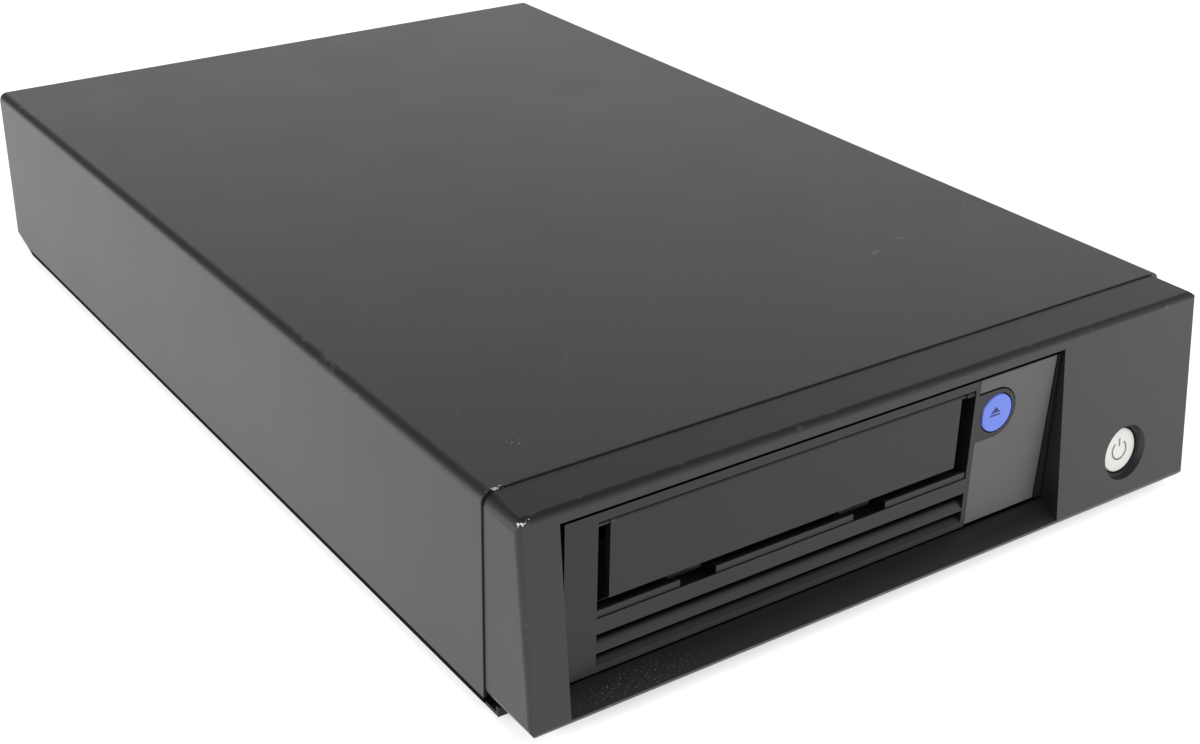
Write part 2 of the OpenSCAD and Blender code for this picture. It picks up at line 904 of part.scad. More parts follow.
// Two data sockets on one board
module data_sockets() {
  face = rear_out + data_out;
  color([0.66, 0.66, 0.64])
    for (x = data_places)
      difference() {
        block([x - data_w / 2 - data_wall, x + data_w / 2 + data_wall],
          [face - data_deep - data_wall, face],
          [data_low, data_low + data_h + data_wall * 2]);
        block([x - data_w / 2, x + data_w / 2], [face - data_deep, face + over],
          [data_low + data_wall, data_low + data_wall + data_h]);
      }
}

// The plastic blocks in the sockets, each with its contact slot
insert_w_share = 0.8;
insert_h_share = 0.72;
slot_w_share = 0.7;
slot_h_share = 0.16;
module data_inserts() {
  y0 = rear_out + data_out - data_deep;
  z0 = data_low + data_wall;
  color([0.1, 0.1, 0.1])
    for (x = data_places)
      difference() {
        block([x - data_w * insert_w_share / 2, x + data_w * insert_w_share / 2],
          [y0, y0 + data_deep / 2], [z0, z0 + data_h * insert_h_share]);
        block([x - data_w * slot_w_share / 2, x + data_w * slot_w_share / 2],
          [y0 + data_deep / 4, y0 + data_deep],
          [z0 + data_h * insert_h_share / 2, z0 + data_h * (insert_h_share / 2 + slot_h_share)]);
      }
}

module data_board() {
  color([0.1, 0.32, 0.16])
    difference() {
      block(data_board_x, [data_board_y0, rear_in - gap], [data_board_z, data_board_z + board_t]);
      for (x = data_post_x, y = data_post_y)
        rod_z(x, y, [data_board_z - over, data_board_z + board_t + over], screw_r);
    }
  color([0.85, 0.83, 0.75])
    block([cable_x - plug_w / 2, cable_x + plug_w / 2], [data_board_y0 + gap, data_board_y0 + plug_d],
      [data_board_z + board_t, data_board_z + board_t + plug_h]);
}

// The flat cable from the drive to the data board
module data_cable() {
  y0 = drive_y1 + plug_out + fit;
  z1 = data_board_z + board_t + plug_h / 2;
  reach = data_board_y0 + fit - y0;
  // Shares of the reach, and of the height above the straight line
  route_shares = [[0, 0], [0.08, 0], [0.25, 0.55], [0.5, 1], [0.75, 0.55], [0.92, 0], [1, 0]];
  top = [for (p = route_shares)
    [y0 + reach * p[0], plug_mid + (z1 - plug_mid) * p[0] + cable_sag * p[1] + cable_t / 2]];
  low = [for (i = [len(top) - 1:-1:0]) top[i] - [0, cable_t]];
  color([0.55, 0.57, 0.6])
    along_x([cable_x - cable_w / 2, cable_x + cable_w / 2])
      polygon(concat(top, low));
}

// Connectors at the drive's back, each with a low part under the deck
module connector(x, w) {
  block([x - w / 2, x + w / 2], [in_y1 - plug_d, drive_y1 + plug_out], [plug_z, plug_z + plug_low_h]);
  block([x - w / 2, x + w / 2], [drive_y1 + fit, drive_y1 + plug_out], [plug_z, plug_z + plug_h]);
}

module drive_connectors() {
  color([0.1, 0.1, 0.11]) {
    connector(cable_x, plug_w);
    connector(power_plug_x, power_plug_w);
  }
}

// The power lead from the supply's side to the drive's back
module power_lead() {
  color([0.75, 0.62, 0.1]) {
    rod_y(power_plug_x, [drive_y1 + plug_out + fit, lead_y - lead_bend], plug_mid, lead_r);
    translate([power_plug_x + lead_bend, lead_y - lead_bend, plug_mid])
      rotate([0, 0, 90])
        rotate_extrude(angle = 90)
          translate([lead_bend, 0])
            circle(lead_r);
    rod_x([power_plug_x + lead_bend, psu_x0 - fit], lead_y, plug_mid, lead_r);
  }
}

// The power supply: a vented box with its board and the large parts on it
module power_supply_case() {
  color([0.68, 0.69, 0.68])
    difference() {
      block([psu_x0, psu_x1], [psu_y0, psu_y1], [psu_z0, psu_z1]);
      block([psu_x0 + sheet_t, psu_x1 - sheet_t], [psu_y0 + sheet_t, psu_y1 - sheet_t],
        [psu_z0 + sheet_t, psu_z1 - sheet_t]);
      for (y = [psu_y0 + psu_slot_pitch * 2:psu_slot_pitch:psu_y1 - psu_slot_pitch * 2])
        block([psu_x0 + psu_w / 5, psu_x1 - psu_w / 5], [y, y + psu_slot],
          [psu_z1 - over, psu_z1 + over]);
      along_y([psu_y1 - over, psu_y1 + over])
        inlet_outline(inlet_wall + gap);
    }
}

module power_supply_board() {
  color([0.52, 0.4, 0.18]) {
    block([psu_x0 + sheet_t + gap, psu_x1 - sheet_t - gap],
      [psu_y0 + sheet_t + gap, psu_y1 - inlet_body], [psu_board_z, psu_board_z + board_t]);
    for (x = [psu_x0 + psu_w / 5, psu_x1 - psu_w / 5], y = [psu_y0 + psu_d / 10, psu_y1 - psu_d / 4])
      rod_z(x, y, [psu_z0 + sheet_t, psu_board_z], psu_post_r);
  }
}

// Places and sizes on the board as shares of the supply's width and length
capacitor_shares = [[0.3, 0.66, 0.15, 0.6], [0.7, 0.66, 0.15, 0.6], [0.74, 0.1, 0.11, 0.45],
  [0.74, 0.2, 0.11, 0.45], [0.74, 0.3, 0.11, 0.45]];
core_shares = [[0.2, 0.36], [0.8, 0.54], 0.62];
fin_shares = [[0.1, 0.08], [0.03, 0.3], 0.55];
fin_n = 5;
module power_supply_parts() {
  z = psu_parts_z;
  core_x = [psu_x0 + psu_w * core_shares[0][0], psu_x0 + psu_w * core_shares[1][0]];
  core_y = [psu_y0 + psu_d * core_shares[0][1], psu_y0 + psu_d * core_shares[1][1]];
  core_z = z + psu_h * core_shares[2];
  fin_x = psu_x0 + psu_w * fin_shares[0][0];
  fin_w = psu_w * fin_shares[1][0];
  fin_y = [psu_y0 + psu_d * fin_shares[0][1], psu_y0 + psu_d * fin_shares[1][1]];
  fin_z = z + psu_h * fin_shares[2];
  color([0.12, 0.12, 0.13]) {
    for (c = capacitor_shares)
      rod_z(psu_x0 + psu_w * c[0], psu_y0 + psu_d * c[1], [z, z + psu_h * c[3]], psu_w * c[2]);
    difference() {
      block(core_x, core_y, [z, core_z]);
      for (x = core_x)
        block([x - core_z / 8, x + core_z / 8], [core_y[0] + core_z / 8, core_y[1] - core_z / 8],
          [z + core_z / 8, core_z - core_z / 8]);
    }
    for (k = [0:fin_n])
      block([fin_x + k * fin_w * 2, fin_x + k * fin_w * 2 + fin_w], fin_y, [z, fin_z]);
    block([fin_x, fin_x + fin_n * fin_w * 2 + fin_w],
      [(fin_y[0] + fin_y[1] - fin_w) / 2, (fin_y[0] + fin_y[1] + fin_w) / 2], [z, fin_z]);
  }
}

// Sheet brackets that carry the drive by its side holes
module bracket(s) {
  wall = s > 0 ? [drive_x1 + gap, drive_x1 + gap + sheet_t] : [drive_x0 - gap - sheet_t, drive_x0 - gap];
  foot = s > 0 ? [drive_x1 + gap, psu_x0 - gap] : [drive_x0 - bracket_foot, drive_x0 - gap];
  cut_x = [wall[0] - over, wall[1] + over];
  color([0.6, 0.61, 0.61])
    difference() {
      union() {
        block(wall, [bracket_y0, bracket_y1], [pan_top, pan_top + bracket_up]);
        block(foot, [bracket_y0, bracket_y1], [pan_top, pan_top + sheet_t]);
      }
      for (y = bracket_holes)
        rod_x(cut_x, y, bracket_hole_z, screw_r + fit);
      for (k = [1:bracket_vent_n])
        rod_x(cut_x, bracket_holes[0] + k * bracket_vent_pitch,
          pan_top + bracket_vent_up, bracket_vent_r);
    }
}

module bracket_screws() {
  color([0.66, 0.66, 0.64])
    for (y = bracket_holes, s = [-1, 1]) {
      face = s > 0 ? drive_x1 + gap + sheet_t : drive_x0 - gap - sheet_t;
      tip = s > 0 ? in_x1 : in_x0;
      rod_x(s > 0 ? [tip, face] : [face, tip], y, bracket_hole_z, screw_r);
      rod_x(s > 0 ? [face, face + head_h] : [face - head_h, face], y, bracket_hole_z, head_r);
    }
}

// The bezel: three prisms meet in its rounded outside, and a ramped collar frames the drive
module bezel_outside() {
  intersection() {
    along_y([front - over, seam])
      soft_pane([-bezel_side, bezel_side], [base_h, bezel_top_seam], bezel_r);
    along_x([-bezel_side - over, bezel_side + over])
      soft_outline([
        [front, base_h],
        [front + bezel_lean, bezel_top],
        [seam, bezel_top_seam],
        [seam, base_h]
      ], [front_round, front_round, 0, 0]);
    on_face(0, 0)
      along_z([-bezel_d, case_h + bezel_d])
        soft_outline([
          [-bezel_side, 0],
          [bezel_side, 0],
          [bezel_side, bezel_d * 2],
          [-bezel_side, bezel_d * 2]
        ], [side_round, side_round, 0, 0]);
  }
}

module bezel_hollow() {
  difference() {
    along_x([-bezel_side + bezel_t, bezel_side - bezel_t])
      polygon([
        [front + bezel_t, base_h + bezel_floor],
        [front + bezel_t + bezel_lean, bezel_top - bezel_t],
        [seam + over, bezel_top - bezel_t],
        [seam + over, base_h + bezel_floor]
      ]);
    block([window_x0 - collar_t, window_x1 + collar_t], [front, seam + over], [0, window_z1 + collar_t]);
    on_face(power_x, power_up)
      rod_y(0, [-over, power_sink + power_wall], 0, power_rim_r + collar_t);
    for (s = [-1, 1])
      on_face(power_x + s * switch_post_x, power_up)
        rod_y(0, [-over, switch_y - fit], 0, switch_post_r);
  }
}

module front_bezel() {
  color([0.19, 0.19, 0.2]) {
    difference() {
      bezel_outside();
      bezel_hollow();
      along_x([window_x0, window_x1])
        polygon([
          [front - over, base_h + window_lip],
          [front + lip_back, base_h + window_lip],
          [face_y, window_z0],
          [seam + over, window_z0],
          [seam + over, window_z1],
          [front - over, window_z1]
        ]);
      along_x([window_x0, window_x1])
        polygon([
          [face_y + collar_t, base_h + bezel_floor],
          [face_y + collar_t, window_z0 - collar_t],
          [seam + over, window_z0 - collar_t],
          [seam + over, base_h + bezel_floor]
        ]);
      on_face(power_x, power_up)
        power_hole();
    }
    along_y([seam - bezel_t, seam + lap_d])
      difference() {
        arch(inner_side - gap, pan_top + pan_wall + gap, inner_top - gap, bend_r - sheet_t - gap);
        arch(inner_side - gap - lap_t, cover_low, inner_top - gap - lap_t, bend_r - sheet_t - gap);
      }
  }
}

// The dished hole: a short cone, the button's bore and the wider room of its collar
module power_hole() {
  flare = power_rim_r - power_r - gap;
  rotate([-90, 0, 0]) {
    translate([0, 0, -power_sink])
      cylinder(r1 = power_rim_r + flare, r2 = power_r + gap, h = power_sink * 2);
    cylinder(r = power_r + gap, h = power_sink + power_wall + over);
  }
  rod_y(0, [power_flange_y - gap, switch_y], 0, power_r + power_flange + gap);
}

module power_button() {
  color([0.86, 0.86, 0.84])
    on_face(power_x, power_up) {
      rotate([-90, 0, 0])
        translate([0, 0, power_sink])
          cylinder(r1 = power_r - gap, r2 = power_r, h = gap);
      rod_y(0, [power_sink + gap, power_flange_y + power_flange_t], 0, power_r);
      rod_y(0, [power_flange_y, power_flange_y + power_flange_t], 0, power_r + power_flange);
      rod_y(0, [power_flange_y, switch_y - switch_h / 2 - power_travel], 0, stem_r);
    }
}

module power_switch() {
  color([0.1, 0.1, 0.1])
    on_face(power_x, power_up)
      difference() {
        block([-switch_w / 2, switch_w / 2], [switch_y - switch_h, switch_y - fit],
          [-switch_w / 2, switch_w / 2]);
        rod_y(0, [switch_y - switch_h - over, switch_y - switch_h / 2 + power_travel / 2], 0,
          stem_r + fit);
      }
}

module power_switch_board() {
  color([0.1, 0.32, 0.16])
    on_face(power_x, power_up)
      block([-switch_board_w / 2, switch_board_w / 2], [switch_y, switch_y + board_t],
        [-switch_board_h / 2, switch_board_h / 2]);
}

// The drive's faceplate: slot, sloped sill with two notches, louvred vents, panel recess
module slot_profile() {
  polygon([
    [face_y - over, slot_z1],
    [face_y - over, sill_z - lip_low],
    [face_y + lip_in, sill_z - lip_low],
    [face_y + lip_in, sill_z + lip_up],
    [face_y + rib_d, sill_z + lip_up],
    [face_y + rib_d, sill_z - rib_h],
    [face_y + louvre_back + over, sill_z - rib_h],
    [face_y + louvre_back + over, slot_z1]
  ]);
}

module louvre_profile(top, low) {
  polygon([
    [face_y - over, top],
    [face_y + louvre_back + over, top],
    [face_y + louvre_back + over, top - louvre_dark],
    [face_y + louvre_d, top - louvre_dark],
    [face_y, low],
    [face_y - over, low]
  ]);
}

module panel_outline(shrink) {
  difference() {
    polygon([
      [panel_x0 + shrink, panel_z0 + shrink],
      [panel_x1 - panel_slant - shrink, panel_z0 + shrink],
      [panel_x1 - shrink, panel_z1 - shrink],
      [panel_x0 + shrink, panel_z1 - shrink]
    ]);
    translate([eject_x, eject_z])
      circle(collar_r + shrink);
    pane([panel_x0 - over, eject_x], [eject_z - collar_r - shrink, eject_z + collar_r + shrink]);
  }
}

module faceplate() {
  right = [slot_x1, slot_x1 + slot_wall];
  left = [slot_x0 - slot_wall, slot_x0];
  block_y = [face_y, face_y + louvre_back];
  color([0.24, 0.24, 0.25])
    difference() {
      along_y([face_y, face_y + face_rim])
        soft_pane([face_x0, face_x1], [face_z0, face_z1], face_rim_t / 2);
      difference() {
        block([face_x0 + face_rim_t, face_x1 - face_rim_t], [face_y + face_t, face_y + face_rim + over],
          [face_z0 + face_rim_t, face_z1 - face_rim_t]);
        block([left[0], right[1]], block_y, [face_z0, sill_z + lip_up]);
        for (x = [left, right])
          block(x, block_y, [face_z0, face_z1]);
      }
      along_x([slot_x0, slot_x1])
        slot_profile();
      for (p = louvre_places)
        along_x([slot_x0, slot_x1])
          louvre_profile(sill_z - sill_bar - p[0], sill_z - sill_bar - p[0] - p[1]);
      for (s = notch_x_shares) {
        x = [slot_x0 + s * slot_w, slot_x0 + s * slot_w + notch_w];
        block(x, [face_y - over, face_y + rib_d + over], [sill_z - lip_low, sill_z + lip_up + over]);
        block(x, [face_y + notch_skin, face_y + louvre_back + over], [sill_z - notch_h, sill_z + over]);
      }
      along_y([face_y - over, face_y + panel_deep])
        panel_outline(0);
      rod_y(eject_x, [face_y - over, face_y + face_t + over], eject_z, eject_r + gap);
      rod_x([slot_x0 - trunnion_in - fit, slot_x1 + trunnion_in + fit], axis_y, axis_z,
        trunnion_r + running);
    }
}

module status_panel() {
  color([0.42, 0.42, 0.41])
    along_y([face_y + panel_deep - panel_t, face_y + panel_deep])
      panel_outline(gap);
}

module eject_button() {
  color([0.45, 0.5, 0.92]) {
    rod_y(eject_x, [face_y, eject_flange_y + eject_flange_t], eject_z, eject_r);
    translate([eject_x, face_y, eject_z])
      rotate([90, 0, 0])
        cylinder(r1 = eject_r, r2 = eject_r - gap, h = gap);
    rod_y(eject_x, [eject_flange_y, eject_flange_y + eject_flange_t], eject_z, eject_r + eject_flange);
    rod_y(eject_x, [eject_flange_y, eject_flange_y + eject_l], eject_z, stem_r);
  }
}

// The board behind the status panel, with the switch that the eject button presses
module front_board() {
  y0 = eject_switch_y + gap;
  color([0.1, 0.32, 0.16])
    block([panel_x0 + face_rim_t, face_x1 - face_rim_t - gap], [y0, y0 + board_t],
      [face_z0 + face_rim_t + gap, face_z1 - face_rim_t - gap]);
  color([0.1, 0.1, 0.1])
    difference() {
      block([eject_x - switch_w / 2, eject_x + switch_w / 2],
        [eject_flange_y + eject_flange_t + eject_travel + gap, y0],
        [eject_z - switch_w / 2, eject_z + switch_w / 2]);
      rod_y(eject_x, [face_y, eject_switch_y + fit], eject_z, stem_r + fit);
    }
}

module cartridge_door() {
  color([0.22, 0.22, 0.23]) {
    block([door_x0, door_x1], [axis_y - door_t / 2, axis_y + door_t / 2], [door_z0, axis_z]);
    rod_x([door_x0, door_x1], axis_y, axis_z, door_t / 2);
    rod_x([slot_x0 - trunnion_in, slot_x1 + trunnion_in], axis_y, axis_z, trunnion_r);
    for (i = [1:door_rib_n]) {
      x = door_x0 + (door_x1 - door_x0) * i / (door_rib_n + 1);
      block([x - door_rib / 2, x + door_rib / 2],
        [axis_y + door_t / 2 - fit, axis_y + door_t / 2 + door_rib],
        [door_z0 + door_rib, axis_z - door_rib_drop]);
    }
  }
}

// The torsion spring lies between the slot's right wall and the door, round its trunnion
module door_spring() {
  x0 = slot_x1 - gap - spring_l;
  color([0.7, 0.7, 0.68]) {
    difference() {
      rod_x([x0, x0 + spring_l], axis_y, axis_z, door_t / 2);
      rod_x([x0 - over, x0 + spring_l + over], axis_y, axis_z, trunnion_r + running);
    }
  }
}

// The cast base: side walls, deck, bosses for the cover's screws
module drive_base() {
  prop_x = [in_x0 + prop_in_x, in_x1 - prop_in_x];
  prop_y = [drive_y0 + prop_in_y, in_y1 - prop_in_y];
  color([0.62, 0.63, 0.64])
    difference() {
      union() {
        difference() {
          along_z([drive_z0, cast_z1])
            soft_pane([drive_x0, drive_x1], [drive_y0, drive_y1], cast_t / 2);
          block([in_x0, in_x1], [drive_y0 + cast_t, in_y1], [drive_z0 - over, cast_z1 + over]);
          block([in_x0, in_x1], [drive_y0 - over, drive_y0 + cast_t + over],
            [sill_z - tray_drop, cast_z1 + over]);
        }
        block([in_x0 - fit, in_x1 + fit], [drive_y0 + fit, in_y1 + fit], [deck_z0, deck_z1]);
        for (p = boss_places)
          rod_z(p[0], p[1], [deck_z1 - fit, cast_z1], boss_r);
        for (x = prop_x, y = prop_y)
          rod_z(x, y, [main_board_z + board_t, deck_z0 + fit], boss_r);
      }
      for (p = boss_places)
        rod_z(p[0], p[1], [cast_z1 - boss_hole, cast_z1 + over], cover_screw_r + fit / 2);
      for (y = bracket_holes)
        rod_x([drive_x0 - over, drive_x1 + over], y, bracket_hole_z, screw_r + fit);
      for (p = [[cable_x, plug_w], [power_plug_x, power_plug_w]])
        block([p[0] - p[1] / 2 - fit, p[0] + p[1] / 2 + fit], [in_y1 - over, drive_y1 + over],
          [drive_z0 - over, plug_z + plug_low_h + fit / 2]);
    }
}

module drive_cover() {
  color([0.66, 0.67, 0.68])
    difference() {
      along_z([cast_z1 + fit, drive_z1])
        soft_pane([drive_x0, drive_x1], [drive_y0, drive_y1], cast_t / 2);
      for (p = boss_places)
        rod_z(p[0], p[1], [cast_z1, drive_z1 + over], cover_screw_r + fit);
    }
}

module drive_screws() {
  color([0.66, 0.66, 0.64])
    for (p = boss_places)
      screw_z(p[0], p[1], drive_z1, cover_screw_l, cover_screw_r);
}

module main_board() {
  color([0.08, 0.3, 0.14])
    block([in_x0 + gap, in_x1 - gap], [drive_y0 + main_board_in, in_y1 - plug_d - gap],
      [main_board_z, main_board_z + board_t]);
  color([0.1, 0.1, 0.1])
    for (p = chip_places)
      block([in_x0 + p[0], in_x0 + p[0] + chip_w], [drive_y0 + p[1], drive_y0 + p[1] + chip_w],
        [main_board_z - chip_h, main_board_z]);
}

module board_shield() {
  color([0.66, 0.67, 0.68])
    difference() {
      block([in_x0 + fit, in_x1 - fit], [drive_y0 + cast_t + fit, in_y1 - plug_d - gap],
        [drive_z0, drive_z0 + shield_t]);
      for (i = [0:shield_slot_n - 1], y = shield_slot_y) {
        x = in_x0 + shield_slot_x + i * shield_slot_pitch;
        block([x, x + shield_slot_w], [drive_y0 + y, drive_y0 + y + shield_slot_l],
          [drive_z0 - over, drive_z0 + shield_t + over]);
      }
    }
}

// Motors under the two hubs: a stator can with its shaft
module hub_motor(x, y, r, shaft_top) {
  rod_z(x, y, [deck_z1, deck_z1 + motor_low], r);
  rod_z(x, y, [deck_z1 + motor_low - fit, shaft_top], shaft_r);
}

module supply_motor() {
  color([0.5, 0.5, 0.52])
    hub_motor(cart_x, supply_y, clutch_r + gap, deck_z1 + motor_low + motor_stub);
}

module takeup_motor() {
  color([0.5, 0.5, 0.52])
    hub_motor(reel_x, reel_y, reel_hub_r - motor_low, tape_high);
}

// The toothed clutch that drives the cartridge's hub
module supply_clutch() {
  z0 = deck_z1 + motor_low + gap;
  color([0.72, 0.72, 0.74])
    difference() {
      union() {
        rod_z(cart_x, supply_y, [z0, z0 + clutch_t], clutch_r);
        rod_z(cart_x, supply_y, [z0, z0 + clutch_t + tooth_h], shaft_r * 3);
        difference() {
          rod_z(cart_x, supply_y, [z0, z0 + clutch_t + tooth_h], clutch_r - over);
          rod_z(cart_x, supply_y, [z0 - over, z0 + clutch_t + tooth_h + over], clutch_r - over * 2.5);
          for (i = [0:clutch_teeth - 1])
            translate([cart_x, supply_y, z0 + clutch_t])
              rotate([0, 0, i * 360 / clutch_teeth])
                block([clutch_r / 2, clutch_r], [-tooth_h, tooth_h], [0, tooth_h + over]);
        }
      }
      rod_z(cart_x, supply_y, [z0 - over, z0 + clutch_t + tooth_h + over], shaft_r + running);
    }
}

// The take-up reel: a slotted hub between two windowed flanges
reel_windows = 3;
module takeup_reel() {
  low = tape_low - flange_t;
  high = tape_high + flange_t;
  color([0.14, 0.14, 0.15])
    difference() {
      union() {
        rod_z(reel_x, reel_y, [low, low + flange_t], reel_r);
        rod_z(reel_x, reel_y, [high - flange_t, high], reel_r);
        rod_z(reel_x, reel_y, [low, high], reel_hub_r);
        rod_z(reel_x, reel_y, [deck_z1 + motor_low + gap, low + flange_t], shaft_r * 3);
      }
      rod_z(reel_x, reel_y, [deck_z1, high + over], shaft_r + running);
      for (i = [0:reel_windows - 1])
        translate([reel_x, reel_y, 0])
          rotate([0, 0, (i + 1 / 2) * 360 / reel_windows]) {
            rod_z((reel_r + reel_hub_r) / 2, 0, [low - over, high + over], reel_r / 8);
            rod_z(reel_hub_r / 2, 0, [low + flange_t, high + over], reel_hub_r / 4);
          }
      translate([reel_x, reel_y, 0])
        block([reel_hub_r / 2, reel_hub_r + over], [-block_r / 2, block_r / 2], [tape_low, tape_high]);
    }
}

// Guide rollers on their posts
function roller_x(i) = thread_x + roller_circle_r * cos(roller_angles[i]);
function roller_y(i) = thread_y + roller_circle_r * sin(roller_angles[i]);
module guide_roller(i) {
  x = roller_x(i);
  y = roller_y(i);
  low = tape_low - roller_flange_t;
  high = tape_high + roller_flange_t;
  color([0.8, 0.8, 0.82])
    difference() {
      union() {
        rod_z(x, y, [low, tape_low], roller_r + roller_rim);
        rod_z(x, y, [tape_high, high], roller_r + roller_rim);
        rod_z(x, y, [low, high], roller_r);
      }
      rod_z(x, y, [low - over, high + over], post_r + running);
    }
}

// The rollers' posts, and the post on which the threader arm turns
module roller_posts() {
  low = tape_low - roller_flange_t - gap;
  high = tape_high + roller_flange_t + gap;
  color([0.7, 0.7, 0.72]) {
    for (i = [0:len(roller_angles) - 1]) {
      rod_z(roller_x(i), roller_y(i), [deck_z1, low], post_r * 2);
      rod_z(roller_x(i), roller_y(i), [deck_z1, high + post_r], post_r);
      rod_z(roller_x(i), roller_y(i), [high, high + post_r], post_r * 1.6);
    }
    rod_z(thread_x, thread_y, [deck_z1, arm_z - gap], shaft_r * 1.5);
    rod_z(thread_x, thread_y, [deck_z1, arm_z + arm_t + shaft_r / 2], shaft_r);
  }
}

// The head rides on two posts and a lead screw
module head_frame() {
  color([0.66, 0.67, 0.68]) {
    for (s = [-1, 1])
      rod_z(head_x, thread_y + s * head_posts, [deck_z1, head_top], head_post_r);
    difference() {
      block([head_x - head_block / 2, head_x + head_block / 2],
        [thread_y - head_posts - head_block / 2, thread_y + head_posts + head_block / 2],
        [head_top, head_top + head_post_r]);
      rod_z(head_x, thread_y, [head_top - over, head_top + over], head_screw_r + running);
    }
  }
}

module head_motor() {
  color([0.3, 0.3, 0.32])
    difference() {
      rod_z(head_x, thread_y, [deck_z1, deck_z1 + motor_low], head_posts - head_post_r - gap);
      rod_z(head_x, thread_y, [deck_z1 + motor_low / 2, deck_z1 + motor_low + over],
        head_screw_r + running);
    }
}

module lead_screw() {
  color([0.75, 0.72, 0.6])
    rod_z(head_x, thread_y, [deck_z1 + motor_low / 2 + fit, head_top + head_post_r - fit], head_screw_r);
}

module head_carriage() {
  z = [tape_z - head_h_low / 2, tape_z + head_h_low / 2];
  half_l = head_posts + head_block / 3;
  color([0.5, 0.5, 0.52])
    difference() {
      union() {
        block([head_x - head_block / 2, head_x + head_block / 2],
          [thread_y - half_l, thread_y + half_l], z);
        block([head_x, head_x + head_arm], [thread_y - head_half, thread_y + head_half], z);
      }
      for (s = [-1, 1])
        rod_z(head_x, thread_y + s * head_posts, [z[0] - over, z[1] + over], head_post_r + running);
      rod_z(head_x, thread_y, [z[0] - over, z[1] + over], head_screw_r + running);
    }
}

// The head's crowned face, with two grooves beside the read and write gaps
module tape_head() {
  face = head_x + head_arm;
  crown = head_half * head_crown_share;
  color([0.35, 0.33, 0.3])
    difference() {
      along_z([tape_low, tape_high])
        intersection() {
          translate([face, thread_y])
            circle(crown);
          pane([face, face + crown], [thread_y - head_half, thread_y + head_half]);
        }
      for (s = [-1, 1])
        block([face + crown - head_half / 3, face + crown],
          [thread_y + s * head_half / 2 - fit, thread_y + s * head_half / 2 + fit],
          [tape_low - over, tape_high + over]);
    }
}

// The threader arm swings the leader block from the cartridge's corner to the reel
module threader_arm() {
  color([0.3, 0.3, 0.3])
    difference() {
      union() {
        rod_z(thread_x, thread_y, [arm_z, arm_z + arm_t], arm_w);
        translate([thread_x, thread_y, 0])
          rotate([0, 0, thread_start]) {
            block([0, threader_reach], [-arm_w / 2, arm_w / 2], [arm_z, arm_z + arm_t]);
            rod_z(threader_reach, 0, [arm_z, arm_z + arm_t], arm_w / 2);
          }
      }
      rod_z(thread_x, thread_y, [arm_z - over, arm_z + arm_t + over], shaft_r + running);
      translate([thread_x, thread_y, 0])
        rotate([0, 0, thread_start])
          rod_z(threader_reach, 0, [arm_z - over, arm_z + arm_t + over], post_r);
    }
}

module leader_block() {
  color([0.75, 0.75, 0.72])
    translate([thread_x, thread_y, 0])
      rotate([0, 0, thread_start])
        difference() {
          union() {
            rod_z(threader_reach, 0, [tape_low, arm_z], block_r);
            rod_z(threader_reach, 0, [arm_z, arm_z + arm_t], post_r);
          }
          block([threader_reach - block_r * 2, threader_reach], [-block_r / 3, block_r / 3],
            [tape_low + flange_t, tape_high - flange_t]);
        }
}

// The tray that holds the cartridge, with four pins in the cam slots
module cartridge_tray() {
  right_y = [tray_y0, tray_y1 - tray_short];
  color([0.58, 0.6, 0.62]) {
    difference() {
      union() {
        block([tray_x0, tray_x1], [tray_y0, tray_y1], [tray_z0, sill_z]);
        block([tray_x0, tray_x0 + tray_t], [tray_y0, tray_y1], [tray_z0, tray_z1]);
        block([tray_x1 - tray_t, tray_x1], right_y, [tray_z0, tray_z1]);
        block([tray_x0, tray_x1 - tray_short], [tray_y1 - tray_t, tray_y1], [tray_z0, tray_z1]);
        block([tray_x0, tray_x0 + tray_lip], [tray_y0, tray_y1], [tray_z1, tray_z1 + tray_t]);
        block([tray_x1 - tray_lip, tray_x1], right_y, [tray_z1, tray_z1 + tray_t]);
      }
      rod_z(cart_x, supply_y, [tray_z0 - over, sill_z + over], tray_hole_r);
    }
    for (y = pin_y) {
      rod_x([tray_x1 - tray_t / 2, rail_x1 + rail_t - gap], y, pin_z, pin_r);
      rod_x([rail_x0 + gap, tray_x0 + tray_t / 2], y, pin_z, pin_r);
    }
  }
}

// A slot for a pin between two places
module pin_slot(x, a, b) {
  r = pin_r + pin_play;
  along = b - a;
  turn = atan2(along[1], along[0]);
  rod_x(x, a[0], a[1], r);
  rod_x(x, b[0], b[1], r);
  translate([x[0], a[0], a[1]])
    rotate([turn, 0, 0])
      block([0, x[1] - x[0]], [0, norm(along)], [-r, r]);
}

// Cam plates on both sides of the tray, joined by a cross bar, with a rack for the loader
module cam_slider() {
  color([0.7, 0.71, 0.72]) {
    difference() {
      union() {
        for (x = [plate_x0, plate_x1])
          block([x, x + plate_t], [plate_y0, plate_y1], [plate_z0, plate_z1]);
        block([plate_x0, plate_x1 + plate_t], [plate_y1 - cross_w, plate_y1],
          [plate_z0, plate_z0 + plate_t]);
      }
      for (x = [plate_x0, plate_x1], y = pin_y)
        pin_slot([x - fit, x + plate_t + fit], [y, pin_z], [y - cam_travel, pin_z - tray_drop]);
    }
    rack(plate_x1 + plate_t);
  }
}

module rack(x) {
  p = PI * rack_m;
  pitch_x = gear_x - rack_m * rack_n / 2;
  tip = pitch_x + rack_m * addendum_share;
  root = pitch_x - rack_m * dedendum_share;
  half_tip = p / 4 - backlash / 2 - (tip - pitch_x) * tan(pressure);
  half_root = p / 4 - backlash / 2 + (pitch_x - root) * tan(pressure);
  count = ceil((cam_travel + rack_ahead) / p);
  along_z([rack_z0, rack_z1]) {
    pane([x - plate_t / 2, root + running], [gear_y - count * p, gear_y + p * 2]);
    for (i = [-count:1])
      translate([0, gear_y + (i + 1 / 2) * p])
        polygon([[root, -half_root], [tip, -half_tip], [tip, half_tip], [root, half_root]]);
  }
}

